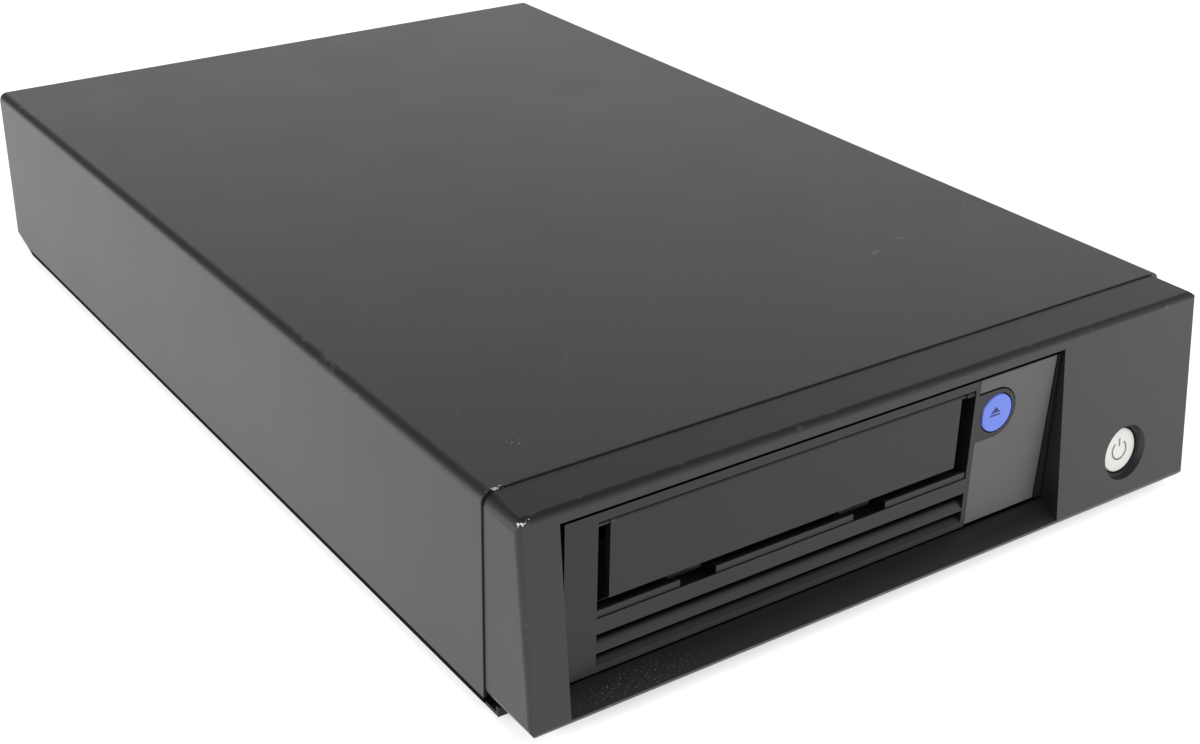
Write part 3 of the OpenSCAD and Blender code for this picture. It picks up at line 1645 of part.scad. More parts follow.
// Fixed rails with upright slots for the tray's pins
module cam_rails() {
  color([0.14, 0.14, 0.15])
    difference() {
      union() {
        block([rail_x0, rail_x0 + rail_t], [rail_y0, rail_y1], [deck_z1, plate_z1]);
        block([rail_x1, rail_x1 + rail_t], [rail_y0, rail_y1], [rack_z1 + gap, plate_z1]);
        for (y = [rail_y0, rail_y1 - rail_foot])
          block([rail_x1, rail_x1 + rail_t], [y, y + rail_foot], [deck_z1, plate_z1]);
      }
      for (x = [rail_x0, rail_x1], y = pin_y)
        pin_slot([x - fit, x + rail_t + fit], [y, pin_z], [y, pin_z - tray_drop]);
    }
}

// Involute gears
function inv(a) = tan(a) * 180 / PI - a;
module spur(m, n, turn) {
  pitch_r = m * n / 2;
  base_r = pitch_r * cos(pressure);
  tip_r = pitch_r + m * addendum_share;
  root_r = pitch_r - m * dedendum_share;
  start_r = max(base_r, root_r);
  steps = 3;
  half = 90 / n - backlash / 2 / pitch_r * 90 / PI + inv(pressure);
  flank = [for (i = [0:steps]) let (
    r = start_r + (tip_r - start_r) * i / steps,
    a = half - inv(acos(min(1, base_r / r)))
  ) [r, a]];
  right = [for (f = flank) [f[0] * cos(f[1]), -f[0] * sin(f[1])]];
  left = [for (i = [steps:-1:0]) [flank[i][0] * cos(flank[i][1]), flank[i][0] * sin(flank[i][1])]];
  foot = root_r * foot_share;
  circle(root_r);
  for (k = [0:n - 1])
    rotate(turn + k * 360 / n)
      polygon(concat([[foot * cos(half), -foot * sin(half)]], right, left,
        [[foot * cos(half), foot * sin(half)]]));
}

module loader_gear() {
  low = rack_z0 + fit;
  color([0.85, 0.85, 0.8])
    difference() {
      union() {
        translate([gear_x, gear_y, 0]) {
          along_z([low, rack_z1])
            spur(rack_m, rack_n, 0);
          along_z([wheel_z0, wheel_z0 + wheel_t])
            spur(wheel_m, wheel_n, 0);
        }
        rod_z(gear_x, gear_y, [low, wheel_z0 + wheel_t], gear_pin_r + gear_sleeve);
      }
      rod_z(gear_x, gear_y, [low - over, wheel_z0 + wheel_t + over], gear_pin_r + running);
    }
}

module loader_pinion() {
  color([0.8, 0.68, 0.35])
    difference() {
      translate([pinion_x, gear_y, 0])
        along_z([wheel_z0, wheel_z0 + wheel_t])
          spur(wheel_m, pinion_n, 0);
      rod_z(pinion_x, gear_y, [wheel_z0 - over, wheel_z0 + wheel_t + over], post_r / 2 + running);
    }
}

module loader_motor() {
  z1 = wheel_z0 - gap - plate_t;
  color([0.6, 0.6, 0.62]) {
    rod_z(pinion_x, gear_y, [rack_z1 + gap, z1], loader_can_r);
    rod_z(pinion_x, gear_y, [z1, wheel_z0 + wheel_t], post_r / 2);
  }
}

// A sheet bracket holds the loader's motor, and the gear's pin stands beside it
module loader_bracket() {
  z1 = wheel_z0 - gap;
  x1 = pinion_x + loader_can_r + gap + plate_t;
  y = [gear_y - loader_can_r, gear_y + loader_can_r];
  color([0.7, 0.71, 0.72]) {
    difference() {
      union() {
        block([gear_x - loader_edge, x1], y, [z1 - plate_t, z1]);
        block([x1 - plate_t, x1], y, [deck_z1, z1]);
        block([pinion_x - loader_can_r / 2, x1], y, [deck_z1, deck_z1 + plate_t]);
      }
      rod_z(gear_x, gear_y, [z1 - over * 2, z1 + over], gear_pin_r + gear_sleeve + gap);
      rod_z(pinion_x, gear_y, [z1 - over * 2, z1 + over], post_r);
    }
    rod_z(gear_x, gear_y, [deck_z1, wheel_z0 + wheel_t], gear_pin_r);
    rod_z(gear_x, gear_y, [deck_z1, deck_z1 + gear_seat], gear_pin_r * 2);
  }
}

base_pan();
top_cover();
rear_panel();
front_bezel();
rubber_feet();
case_screws();
power_supply_case();
power_supply_board();
power_supply_parts();
inlet_socket();
inlet_pins();
fan_frame();
fan_screws();
data_sockets();
data_inserts();
data_board();
data_cable();
power_lead();
bracket(-1);  // bracket_left
bracket(1);  // bracket_right
bracket_screws();
power_switch();
power_switch_board();
drive_base();
drive_cover();
drive_screws();
faceplate();
status_panel();
front_board();
main_board();
board_shield();
drive_connectors();
supply_motor();
takeup_motor();
roller_posts();
head_frame();
head_motor();
cam_rails();
loader_bracket();
loader_motor();
door_spring();
cartridge_door();
eject_button();
power_button();
fan_rotor();
supply_clutch();
takeup_reel();
guide_roller(0);  // guide_roller_1
guide_roller(1);  // guide_roller_2
guide_roller(2);  // guide_roller_3
guide_roller(3);  // guide_roller_4
head_carriage();
tape_head();
lead_screw();
cartridge_tray();
cam_slider();
loader_gear();
loader_pinion();
threader_arm();
leader_block();
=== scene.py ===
"""Looks of a desktop tape drive: finishes, softened edges, printed signs, studio and camera.

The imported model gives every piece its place. Lengths in this script are millimetres in the
model's own frame (x to the right, y to the back, z up), and MM turns them into metres.
"""

import json
import logging
import math
from collections.abc import Iterable, Sequence
from dataclasses import dataclass, field
from enum import Enum

import bmesh
import bpy
from mathutils import Matrix, Vector

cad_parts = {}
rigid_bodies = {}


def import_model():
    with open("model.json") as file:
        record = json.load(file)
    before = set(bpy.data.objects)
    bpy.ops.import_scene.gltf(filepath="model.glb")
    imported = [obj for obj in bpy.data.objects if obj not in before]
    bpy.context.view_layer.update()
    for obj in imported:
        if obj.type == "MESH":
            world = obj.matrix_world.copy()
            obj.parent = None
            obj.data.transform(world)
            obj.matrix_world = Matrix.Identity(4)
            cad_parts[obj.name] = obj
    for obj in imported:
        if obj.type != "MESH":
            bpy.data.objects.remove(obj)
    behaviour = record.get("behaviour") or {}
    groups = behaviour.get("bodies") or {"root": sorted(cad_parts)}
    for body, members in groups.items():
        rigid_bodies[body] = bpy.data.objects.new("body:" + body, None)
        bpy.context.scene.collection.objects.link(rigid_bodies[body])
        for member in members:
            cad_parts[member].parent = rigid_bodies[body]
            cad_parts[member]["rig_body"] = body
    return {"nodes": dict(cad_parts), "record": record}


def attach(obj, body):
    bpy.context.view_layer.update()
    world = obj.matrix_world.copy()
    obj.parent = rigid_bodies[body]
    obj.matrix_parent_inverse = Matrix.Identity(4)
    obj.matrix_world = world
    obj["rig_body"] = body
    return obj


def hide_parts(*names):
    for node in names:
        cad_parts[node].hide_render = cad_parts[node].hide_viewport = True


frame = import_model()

MM = 0.001
WAVE = math.pi / 10  # a wave texture of this scale has one band in each unit of length
NODE_STEP = 220
LOG = logging.getLogger("tape_drive")
Colour = tuple[float, float, float]
Point = tuple[float, float, float]
Range = tuple[float, float]
Outline = list[Range]
Socket = bpy.types.NodeSocket
Input = float | Sequence[float] | Socket


# Nodes

class Graph:
    """A node tree that is filled from left to right."""

    def __init__(self, tree: bpy.types.NodeTree) -> None:
        """Start on an empty tree.

        Args:
            tree: The tree to fill.
        """
        self.tree = tree
        tree.nodes.clear()

    def add(
        self, kind: str, inputs: dict[str | int, Input] | None = None, **settings: object
    ) -> bpy.types.Node:
        """Add one node.

        Args:
            kind: Blender's name for the node's type.
            inputs: Values or sockets for its inputs, by name or place.
            settings: Values for the node's own properties.

        Returns:
            The new node.
        """
        node = self.tree.nodes.new(kind)
        node.location = (NODE_STEP * len(self.tree.nodes), 0)
        for name, value in settings.items():
            setattr(node, name, value)
        for key, value in (inputs or {}).items():
            self.feed(node.inputs[key], value)
        return node

    def feed(self, socket: Socket, value: Input) -> None:
        """Give an input a value or a link.

        Args:
            socket: The input.
            value: A number, a row of numbers or another node's output.
        """
        if isinstance(value, Socket):
            self.tree.links.new(value, socket)
        elif socket.type == "RGBA" and len(value) == 3:
            socket.default_value = (*value, 1.0)
        else:
            socket.default_value = value

    def math(self, operation: str, *values: Input) -> Socket:
        """Add a Math node and return its output.

        Args:
            operation: The node's operation.
            values: Its inputs in order.

        Returns:
            The output socket.
        """
        return self.add("ShaderNodeMath", dict(enumerate(values)), operation=operation).outputs[0]

    def vector(self, operation: str, *values: Input) -> Socket:
        """Add a Vector Math node and return its first output.

        Args:
            operation: The node's operation.
            values: Its inputs in order.

        Returns:
            The output socket.
        """
        node = self.add("ShaderNodeVectorMath", dict(enumerate(values)), operation=operation)
        return node.outputs["Value" if operation in ("LENGTH", "DISTANCE") else "Vector"]

    def step(self, value: Input, low: Input, high: Input) -> Socket:
        """Turn a value into a mask that rises smoothly from 0 at low to 1 at high.

        Args:
            value: The value.
            low: Where the mask leaves 0.
            high: Where it reaches 1.

        Returns:
            The mask.
        """
        inputs = {"Value": value, "From Min": low, "From Max": high}
        return self.add("ShaderNodeMapRange", inputs, interpolation_type="SMOOTHSTEP").outputs["Result"]

    def ramp(self, value: Input, source: Range, target: Range) -> Socket:
        """Map one range of values straight to another, held at both ends.

        Args:
            value: The value.
            source: The range that it comes from.
            target: What the ends of that range become.

        Returns:
            The mapped value.
        """
        ends = dict(zip(("From Min", "From Max", "To Min", "To Max"), (*source, *target)))
        return self.add("ShaderNodeMapRange", {"Value": value} | ends).outputs["Result"]

    def mix(self, mask: Input, under: Input, over: Input) -> Socket:
        """Lay one colour over another.

        Args:
            mask: Where the upper colour shows.
            under: The lower colour.
            over: The upper colour.

        Returns:
            The mixed colour.
        """
        # Places 6 and 7, and output 2, are the node's colours.
        return self.add("ShaderNodeMix", {0: mask, 6: under, 7: over}, data_type="RGBA").outputs[2]

    def noise(self, place: Input, scale: Input, detail: float = 2.0) -> Socket:
        """Add a noise texture and return its value.

        Args:
            place: The coordinates.
            scale: Waves per metre.
            detail: Octaves of finer noise.

        Returns:
            The noise, about 0.5 on average.
        """
        inputs = {"Vector": place, "Scale": scale, "Detail": detail}
        return self.add("ShaderNodeTexNoise", inputs).outputs[0]


class Effect(Enum):
    """Shared shader node groups, each built once."""

    GRAIN = "surface grain"
    PATCH = "speck patch"
    WEAR = "edge wear"
    SCRATCH = "fine scratches"
    HOLLOW = "painted hollow shade"
    TRACES = "board traces"
    RIBBON = "ribbon wires"

    def group(self) -> bpy.types.NodeTree:
        """Return this effect's group, and build it the first time."""
        return bpy.data.node_groups.get(self.value) or EffectBuilder(self).build()


@dataclass
class EffectBuilder:
    """Builds one shared node group with named inputs and outputs.

    An edge is the range of a texture's value over which a mask rises from 0 to 1.
    """

    effect: Effect
    grain_detail: float = 3.0
    cloud_detail: float = 4.0
    fleck_share: float = 0.5
    speck_detail: float = 1.5
    speck_near: Range = (0.0, 0.8)
    speck_edge: Range = (0.84, 0.92)
    wear_detail: float = 4.0
    wear_share: float = 0.5
    wear_edge: Range = (0.62, 0.8)
    scratch_turn: float = 0.7
    scratch_stretch: Point = (1.0, 0.03, 1.0)
    scratch_field: float = 0.03
    scratch_detail: float = 2.0
    scratch_line: Range = (0.72, 0.8)
    scratch_seen: Range = (0.48, 0.62)
    field_scale: float = 0.12
    field_pick: float = 0.95
    track_edge: Range = (0.7, 0.8)
    pad_scale: float = 1.3
    pad_edge: Range = (0.1, 0.14)

    def __post_init__(self) -> None:
        """Start an empty group."""
        self.tree = bpy.data.node_groups.new(self.effect.value, "ShaderNodeTree")
        self.graph = Graph(self.tree)
        self.result = self.graph.add("NodeGroupOutput")

    def build(self) -> bpy.types.NodeTree:
        """Fill the group.

        Returns:
            The group.
        """
        makers = {
            Effect.GRAIN: self.grain,
            Effect.PATCH: self.patch,
            Effect.WEAR: self.wear,
            Effect.SCRATCH: self.scratch,
            Effect.HOLLOW: self.hollow,
            Effect.TRACES: self.traces,
            Effect.RIBBON: self.ribbon,
        }
        makers[self.effect]()
        return self.tree

    def inputs(self, **kinds: str) -> list[Socket]:
        """Args:
            kinds: Each input's name, with underscores for spaces, and Float, Color or Vector.

        Returns:
            The sockets inside the group, in the same order.
        """
        for name, kind in kinds.items():
            plain = name.replace("_", " ")
            self.tree.interface.new_socket(plain, in_out="INPUT", socket_type="NodeSocket" + kind)
        return list(self.graph.add("NodeGroupInput").outputs)[: len(kinds)]

    def output(self, name: str, kind: str, value: Socket) -> None:
        """Declare one output and feed it.

        Args:
            name: The output's name.
            kind: Float, Color or Vector.
            value: The socket that feeds it.
        """
        self.tree.interface.new_socket(name, in_out="OUTPUT", socket_type="NodeSocket" + kind)
        self.tree.links.new(value, self.result.inputs[name])

    def place(self) -> Socket:
        """Return coordinates that ride with the piece, in metres."""
        return self.graph.add("ShaderNodeTexCoord").outputs["Object"]

    def grain(self) -> None:
        """Fine grain for the bump, with soft mottling of colour and gloss."""
        graph = self.graph
        names = dict(Colour="Color", Stretch="Vector", Grain_Scale="Float", Mottle_Scale="Float")
        levels = dict(Mottle="Float", Roughness="Float", Gloss_Spread="Float")
        colour, stretch, fine, broad, mottle, rough, spread = self.inputs(**names, **levels)
        place = graph.vector("MULTIPLY", self.place(), stretch)
        grain = graph.noise(place, fine, self.grain_detail)
        cloud = graph.math("SUBTRACT", graph.noise(place, broad, self.cloud_detail), 0.5)
        shade = graph.math("MULTIPLY_ADD", cloud, mottle, 1.0)
        dot = graph.math("SUBTRACT", grain, 0.5)
        share = graph.math("MULTIPLY", mottle, self.fleck_share)
        fleck = graph.math("MULTIPLY_ADD", dot, share, shade)
        scaled = graph.add("ShaderNodeVectorMath", {0: colour, "Scale": fleck}, operation="SCALE")
        self.output("Colour", "Color", scaled.outputs["Vector"])
        wander = graph.math("ADD", cloud, graph.math("MULTIPLY", dot, self.fleck_share))
        self.output("Roughness", "Float", graph.math("MULTIPLY_ADD", wander, spread, rough))
        self.output("Height", "Float", grain)

    def patch(self) -> None:
        """Specks that gather round one place and thin out to its edge."""
        graph = self.graph
        names = dict(Centre="Vector", Reach="Vector", Speck_Scale="Float", Density="Float")
        centre, reach, scale, density = self.inputs(**names)
        place = self.place()
        offset = graph.vector("DIVIDE", graph.vector("SUBTRACT", place, centre), reach)
        away = graph.vector("LENGTH", offset)
        near = graph.step(graph.math("SUBTRACT", 1.0, away), *self.speck_near)
        noise = graph.noise(place, scale, self.speck_detail)
        level = graph.math("MULTIPLY_ADD", near, density, noise)
        self.output("Mask", "Float", graph.step(level, *self.speck_edge))

    def wear(self) -> None:
        """Paint rubbed thin on narrow rounded faces, which the mesh marks."""
        graph = self.graph
        scale, amount = self.inputs(Scale="Float", Amount="Float")
        edge = graph.add("ShaderNodeAttribute", attribute_name=SoftPiece.EDGE).outputs["Fac"]
        noise = graph.noise(self.place(), scale, self.wear_detail)
        level = graph.math("MULTIPLY_ADD", amount, self.wear_share, noise)
        self.output("Mask", "Float", graph.math("MULTIPLY", graph.step(level, *self.wear_edge), edge))

    def scratch(self) -> None:
        """Long fine scratches in one slanting direction, in places only."""
        graph = self.graph
        scale, amount = self.inputs(Scale="Float", Amount="Float")
        place = self.place()
        angle = {"Vector": place, "Angle": self.scratch_turn}
        turned = graph.add("ShaderNodeVectorRotate", angle, rotation_type="Z_AXIS").outputs[0]
        along = graph.noise(graph.vector("MULTIPLY", turned, self.scratch_stretch), scale, 0.0)
        broad = graph.math("MULTIPLY", scale, self.scratch_field)
        patch = graph.noise(place, broad, self.scratch_detail)
        line = graph.step(along, *self.scratch_line)
        seen = graph.math("MULTIPLY", line, graph.step(patch, *self.scratch_seen))
        self.output("Mask", "Float", graph.math("MULTIPLY", seen, amount))

    def hollow(self) -> None:
        """Painted shade that deepens towards the back between two heights."""
        graph = self.graph
        names = dict(Start="Float", Depth="Float", Low="Float", High="Float")
        start, depth, low, high = self.inputs(**names)
        place = graph.add("ShaderNodeSeparateXYZ", {0: self.place()}).outputs
        deep = graph.math("DIVIDE", graph.math("SUBTRACT", place["Y"], start), depth)
        above = graph.math("GREATER_THAN", place["Z"], low)
        below = graph.math("LESS_THAN", place["Z"], high)
        between = graph.math("MULTIPLY", above, below)
        self.output("Mask", "Float", graph.math("MULTIPLY", graph.step(deep, 0.0, 1.0), between))

    def traces(self) -> None:
        """Copper tracks that change direction from field to field, and small pads."""
        graph = self.graph
        (scale,) = self.inputs(Scale="Float")
        place = self.place()
        cells = {"Vector": place, "Scale": graph.math("MULTIPLY", scale, self.field_scale)}
        field_colour = graph.add("ShaderNodeTexVoronoi", cells, distance="CHEBYCHEV").outputs["Color"]
        pick = graph.math("GREATER_THAN", graph.vector("LENGTH", field_colour), self.field_pick)
        lines = {"Vector": place, "Scale": scale}
        waves = [
            graph.add("ShaderNodeTexWave", lines, bands_direction=axis).outputs["Fac"]
            for axis in ("X", "Y")
        ]
        # Places 2 and 3, and output 0, are the node's plain values.
        both = graph.add("ShaderNodeMix", {0: pick, 2: waves[0], 3: waves[1]}).outputs[0]
        holes = {"Vector": place, "Scale": graph.math("MULTIPLY", scale, self.pad_scale)}
        pads = graph.add("ShaderNodeTexVoronoi", holes).outputs["Distance"]
        dot = graph.math("SUBTRACT", 1.0, graph.step(pads, *self.pad_edge))
        self.output("Tracks", "Float", graph.step(both, *self.track_edge))
        self.output("Pads", "Float", dot)

    def ribbon(self) -> None:
        """Side by side wires of a flat cable."""
        graph = self.graph
        (scale,) = self.inputs(Scale="Float")
        lines = {"Vector": self.place(), "Scale": scale}
        wave = graph.add("ShaderNodeTexWave", lines, bands_direction="X")
        self.output("Wires", "Float", wave.outputs["Fac"])


# Finishes

class Slot(Enum):
    """The record's material slots."""

    COVER = "cover_paint"
    BEZEL = "bezel_plastic"
    FACE = "face_plastic"
    PANEL = "panel_plastic"
    EJECT = "eject_plastic"
    BUTTON = "button_plastic"
    PAN = "pan_paint"
    FOOT = "foot_rubber"
    ZINC = "zinc_steel"
    CAST = "cast_alloy"
    BLACK = "black_plastic"
    PALE = "pale_plastic"
    GREEN_BOARD = "board_green"
    TAN_BOARD = "board_tan"
    CABLE = "cable_grey"
    LEAD = "lead_yellow"
    BRASS = "brass"
    STEEL = "bright_steel"


@dataclass(frozen=True)
class Mark:
    """One layer of dirt, wear, painted shade or painted shadow over a finish. A dead one also takes the
    gloss away.
    """

    colour: Colour
    dead: bool = field(default=False, kw_only=True)

    def mask(self, graph: Graph) -> Socket:
        """Return where the layer shows."""
        raise NotImplementedError

    def place(self, graph: Graph, effect: Effect, **inputs: Input) -> Socket:
        """Place an effect's group in the material and return its mask.

        Args:
            graph: The material's nodes.
            effect: The group.
            inputs: Its inputs, with underscores for spaces.

        Returns:
            The mask.
        """
        return place_effect(graph, effect, **inputs).outputs["Mask"]


@dataclass(frozen=True)
class EdgeWear(Mark):
    """Paint rubbed thin along the rounded edges."""

    size: float = 3.0
    amount: float = 0.2

    def mask(self, graph: Graph) -> Socket:
        """Return where the edge is rubbed."""
        return self.place(graph, Effect.WEAR, Scale=1 / (self.size * MM), Amount=self.amount)


@dataclass(frozen=True)
class Specks(Mark):
    """Dust, chips or smudges that gather round one place."""

    centre: Point = (0.0, 0.0, 0.0)
    reach: Point = (100.0, 100.0, 100.0)
    size: float = 0.6
    density: float = 0.3

    def mask(self, graph: Graph) -> Socket:
        """Find where the specks lie.

        Args:
            graph: The material's nodes.

        Returns:
            The mask.
        """
        metres = {"Centre": Vector(self.centre) * MM, "Reach": Vector(self.reach) * MM}
        scales = {"Speck_Scale": 1 / (self.size * MM), "Density": self.density}
        return self.place(graph, Effect.PATCH, **metres, **scales)


@dataclass(frozen=True)
class Scratches(Mark):
    """Fine scratches from handling."""

    size: float = 1.5
    amount: float = 0.3

    def mask(self, graph: Graph) -> Socket:
        """Return where the scratches run."""
        return self.place(graph, Effect.SCRATCH, Scale=1 / (self.size * MM), Amount=self.amount)


@dataclass(frozen=True)
class PaintedShade(Mark):
    """Painted shade between two heights, from start on towards the back.

    Depth is the way over which it sets in.
    """

    start: float = 0.0
    depth: float = 0.8
    low: float = 0.0
    high: float = 100.0

    def mask(self, graph: Graph) -> Socket:
        """Find where the painted shade lies.

        Args:
            graph: The material's nodes.

        Returns:
            The mask.
        """
        lengths = {"Start": self.start, "Depth": self.depth, "Low": self.low, "High": self.high}
        metres = {name: value * MM for name, value in lengths.items()}
        return self.place(graph, Effect.HOLLOW, **metres)


def place_effect(graph: Graph, effect: Effect, **inputs: Input) -> bpy.types.Node:
    """Place an effect's group in a material.

    Args:
        graph: The material's nodes.
        effect: The group.
        inputs: Its inputs, with underscores for spaces.

    Returns:
        The group's node.
    """
    node = graph.add("ShaderNodeGroup", node_tree=effect.group())
    for name, value in inputs.items():
        graph.feed(node.inputs[name.replace("_", " ")], value)
    return node


@dataclass(frozen=True)
class Finish:
    """A surface: its colour, its gloss, and the grain and marks that break both up.

    Grain and cloud are the sizes of the fine and the broad pattern, and depth is the relief of
    the fine one. Mottle and spread are how far colour and gloss wander.
    """

    colour: Colour
    roughness: float
    grain: float = 0.4
    depth: float = 0.02
    mottle: float = 0.25
    cloud: float = 14.0
    spread: float = 0.15
    stretch: Point = (1.0, 1.0, 1.0)
    metallic: float = 0.0
    specular: float = 0.5
    coat: float = 0.0
    coat_roughness: float = 0.15
    marks: tuple[Mark, ...] = ()

    def pattern(self, graph: Graph, colour: Socket, height: Socket) -> tuple[Socket, Socket]:
        """Add what only this kind of surface has.

        Args:
            graph: The material's nodes.
            colour: The colour so far.
            height: The relief so far.

        Returns:
            The new colour and relief.
        """
        return colour, height

    def material(self, name: str) -> bpy.types.Material:
        """Build the material, or return it if it exists.

        Args:
            name: The material's name.

        Returns:
            The material.
        """
        found = bpy.data.materials.get("finish " + name)
        if found:
            return found
        made = bpy.data.materials.new("finish " + name)
        made.use_nodes = True
        made.diffuse_color = (*self.colour, 1.0)
        graph = Graph(made.node_tree)
        result = graph.add("ShaderNodeOutputMaterial")
        scales = dict(Grain_Scale=1 / (self.grain * MM), Mottle_Scale=1 / (self.cloud * MM))
        levels = dict(Mottle=self.mottle, Roughness=self.roughness, Gloss_Spread=self.spread)
        levels |= dict(Stretch=self.stretch)
        grain = place_effect(graph, Effect.GRAIN, Colour=self.colour, **scales, **levels)
        colour, height = self.pattern(graph, grain.outputs["Colour"], grain.outputs["Height"])
        metallic: Input = self.metallic
        roughness = grain.outputs["Roughness"]
        for mark in self.marks:
            mask = mark.mask(graph)
            colour = graph.mix(mask, colour, mark.colour)
            if mark.dead:
                metallic = graph.math("MAXIMUM", metallic, mask)
                roughness = graph.math("MAXIMUM", roughness, mask)
        relief = {"Height": height, "Strength": 1.0, "Distance": self.depth * MM}
        bump = graph.add("ShaderNodeBump", relief)
        shader = graph.add("ShaderNodeBsdfPrincipled", {
            "Base Color": colour,
            "Roughness": roughness,
            "Metallic": metallic,
            "Specular IOR Level": self.specular,
            "Coat Weight": self.coat,
            "Coat Roughness": self.coat_roughness,
            "Normal": bump.outputs[0],
        })
        graph.feed(result.inputs["Surface"], shader.outputs[0])
        return made


@dataclass(frozen=True)
class BoardFinish(Finish):
    """Lacquered circuit board with tracks and pads."""

    track: Colour = (0.06, 0.24, 0.11)
    pad: Colour = (0.55, 0.52, 0.42)
    pitch: float = 2.2
    relief: float = 2.0

    def pattern(self, graph: Graph, colour: Socket, height: Socket) -> tuple[Socket, Socket]:
        """Lay tracks and pads over the board.

        Args:
            graph: The material's nodes.
            colour: The colour so far.
            height: The relief so far.

        Returns:
            The new colour and relief.
        """
        traces = place_effect(graph, Effect.TRACES, Scale=WAVE / (self.pitch * MM))
        colour = graph.mix(traces.outputs["Tracks"], colour, self.track)
        colour = graph.mix(traces.outputs["Pads"], colour, self.pad)
        return colour, graph.math("MULTIPLY_ADD", traces.outputs["Tracks"], self.relief, height)


@dataclass(frozen=True)
class RibbonFinish(Finish):
    """Flat cable with its wires side by side."""

    pitch: float = 1.27
    # Painted shade in the grooves between the wires.
    groove_shade: Colour = (0.16, 0.17, 0.19)
    groove_edge: Range = (0.05, 0.4)
    relief: float = 8.0

    def pattern(self, graph: Graph, colour: Socket, height: Socket) -> tuple[Socket, Socket]:
        """Darken the grooves between the wires with painted shade and raise the wires.

        Args:
            graph: The material's nodes.
            colour: The colour so far.
            height: The relief so far.

        Returns:
            The new colour and relief.
        """
        ribbon = place_effect(graph, Effect.RIBBON, Scale=WAVE / (self.pitch * MM))
        wires = ribbon.outputs["Wires"]
        groove_shade = graph.math("SUBTRACT", 1.0, graph.step(wires, *self.groove_edge))
        raised = graph.math("MULTIPLY_ADD", wires, self.relief, height)
        return graph.mix(groove_shade, colour, self.groove_shade), raised


CHIP = (0.72, 0.71, 0.68)
# Painted shade for recesses, and a painted shadow for the gap under the window's upper edge.
RECESS_SHADE = (0.003, 0.003, 0.003)
GAP_SHADOW = (0.001, 0.001, 0.001)
METAL = dict(metallic=1.0, spread=0.2, mottle=0.12, depth=0.004)

# Scratches and a smudge on top, painted shade along the lower hem, chips at the front left corner.
COVER_MARKS = (
    Scratches((0.07, 0.07, 0.07), amount=0.2),
    Specks((0.075, 0.075, 0.075), centre=(55, -95, 58), reach=(22, 14, 4), size=5.0, density=0.2),
    PaintedShade((0.012, 0.012, 0.012), start=-400, depth=1.0, high=4.7, dead=True),
    EdgeWear((0.1, 0.1, 0.1), size=6.0, amount=0.03),
    Specks(CHIP, centre=(-103, -147, 57.5), reach=(5, 2.5, 2), size=0.9, density=0.3),
    Specks(CHIP, centre=(-88, -132, 58), reach=(7, 7, 1), size=0.6, density=0.16),
)

# Dust under the window and a chip at the upper left corner.
BEZEL_MARKS = (
    Specks((0.1, 0.1, 0.1), centre=(-76, -163, 8), reach=(44, 8, 6), size=0.42, density=0.23),
    EdgeWear((0.1, 0.1, 0.105), size=4.0, amount=0.03),
    Specks(CHIP, centre=(-104.5, -159.8, 56.3), reach=(4, 1.6, 1.6), size=0.7, density=0.3),
)

# Painted shade on the louvres' backs and the lower rim, and a painted shadow in the gap under the
# window's upper edge.
FACE_MARKS = (
    PaintedShade(RECESS_SHADE, start=-158.9, depth=1.2, low=10.7, high=21.0, dead=True),
    PaintedShade(RECESS_SHADE, start=-160.5, depth=0.5, low=9.0, high=10.7, dead=True),
    PaintedShade(GAP_SHADOW, start=-160.5, depth=0.5, low=52.25, high=53.5, dead=True),
    EdgeWear((0.08, 0.08, 0.08), size=3.0, amount=0.03),
)

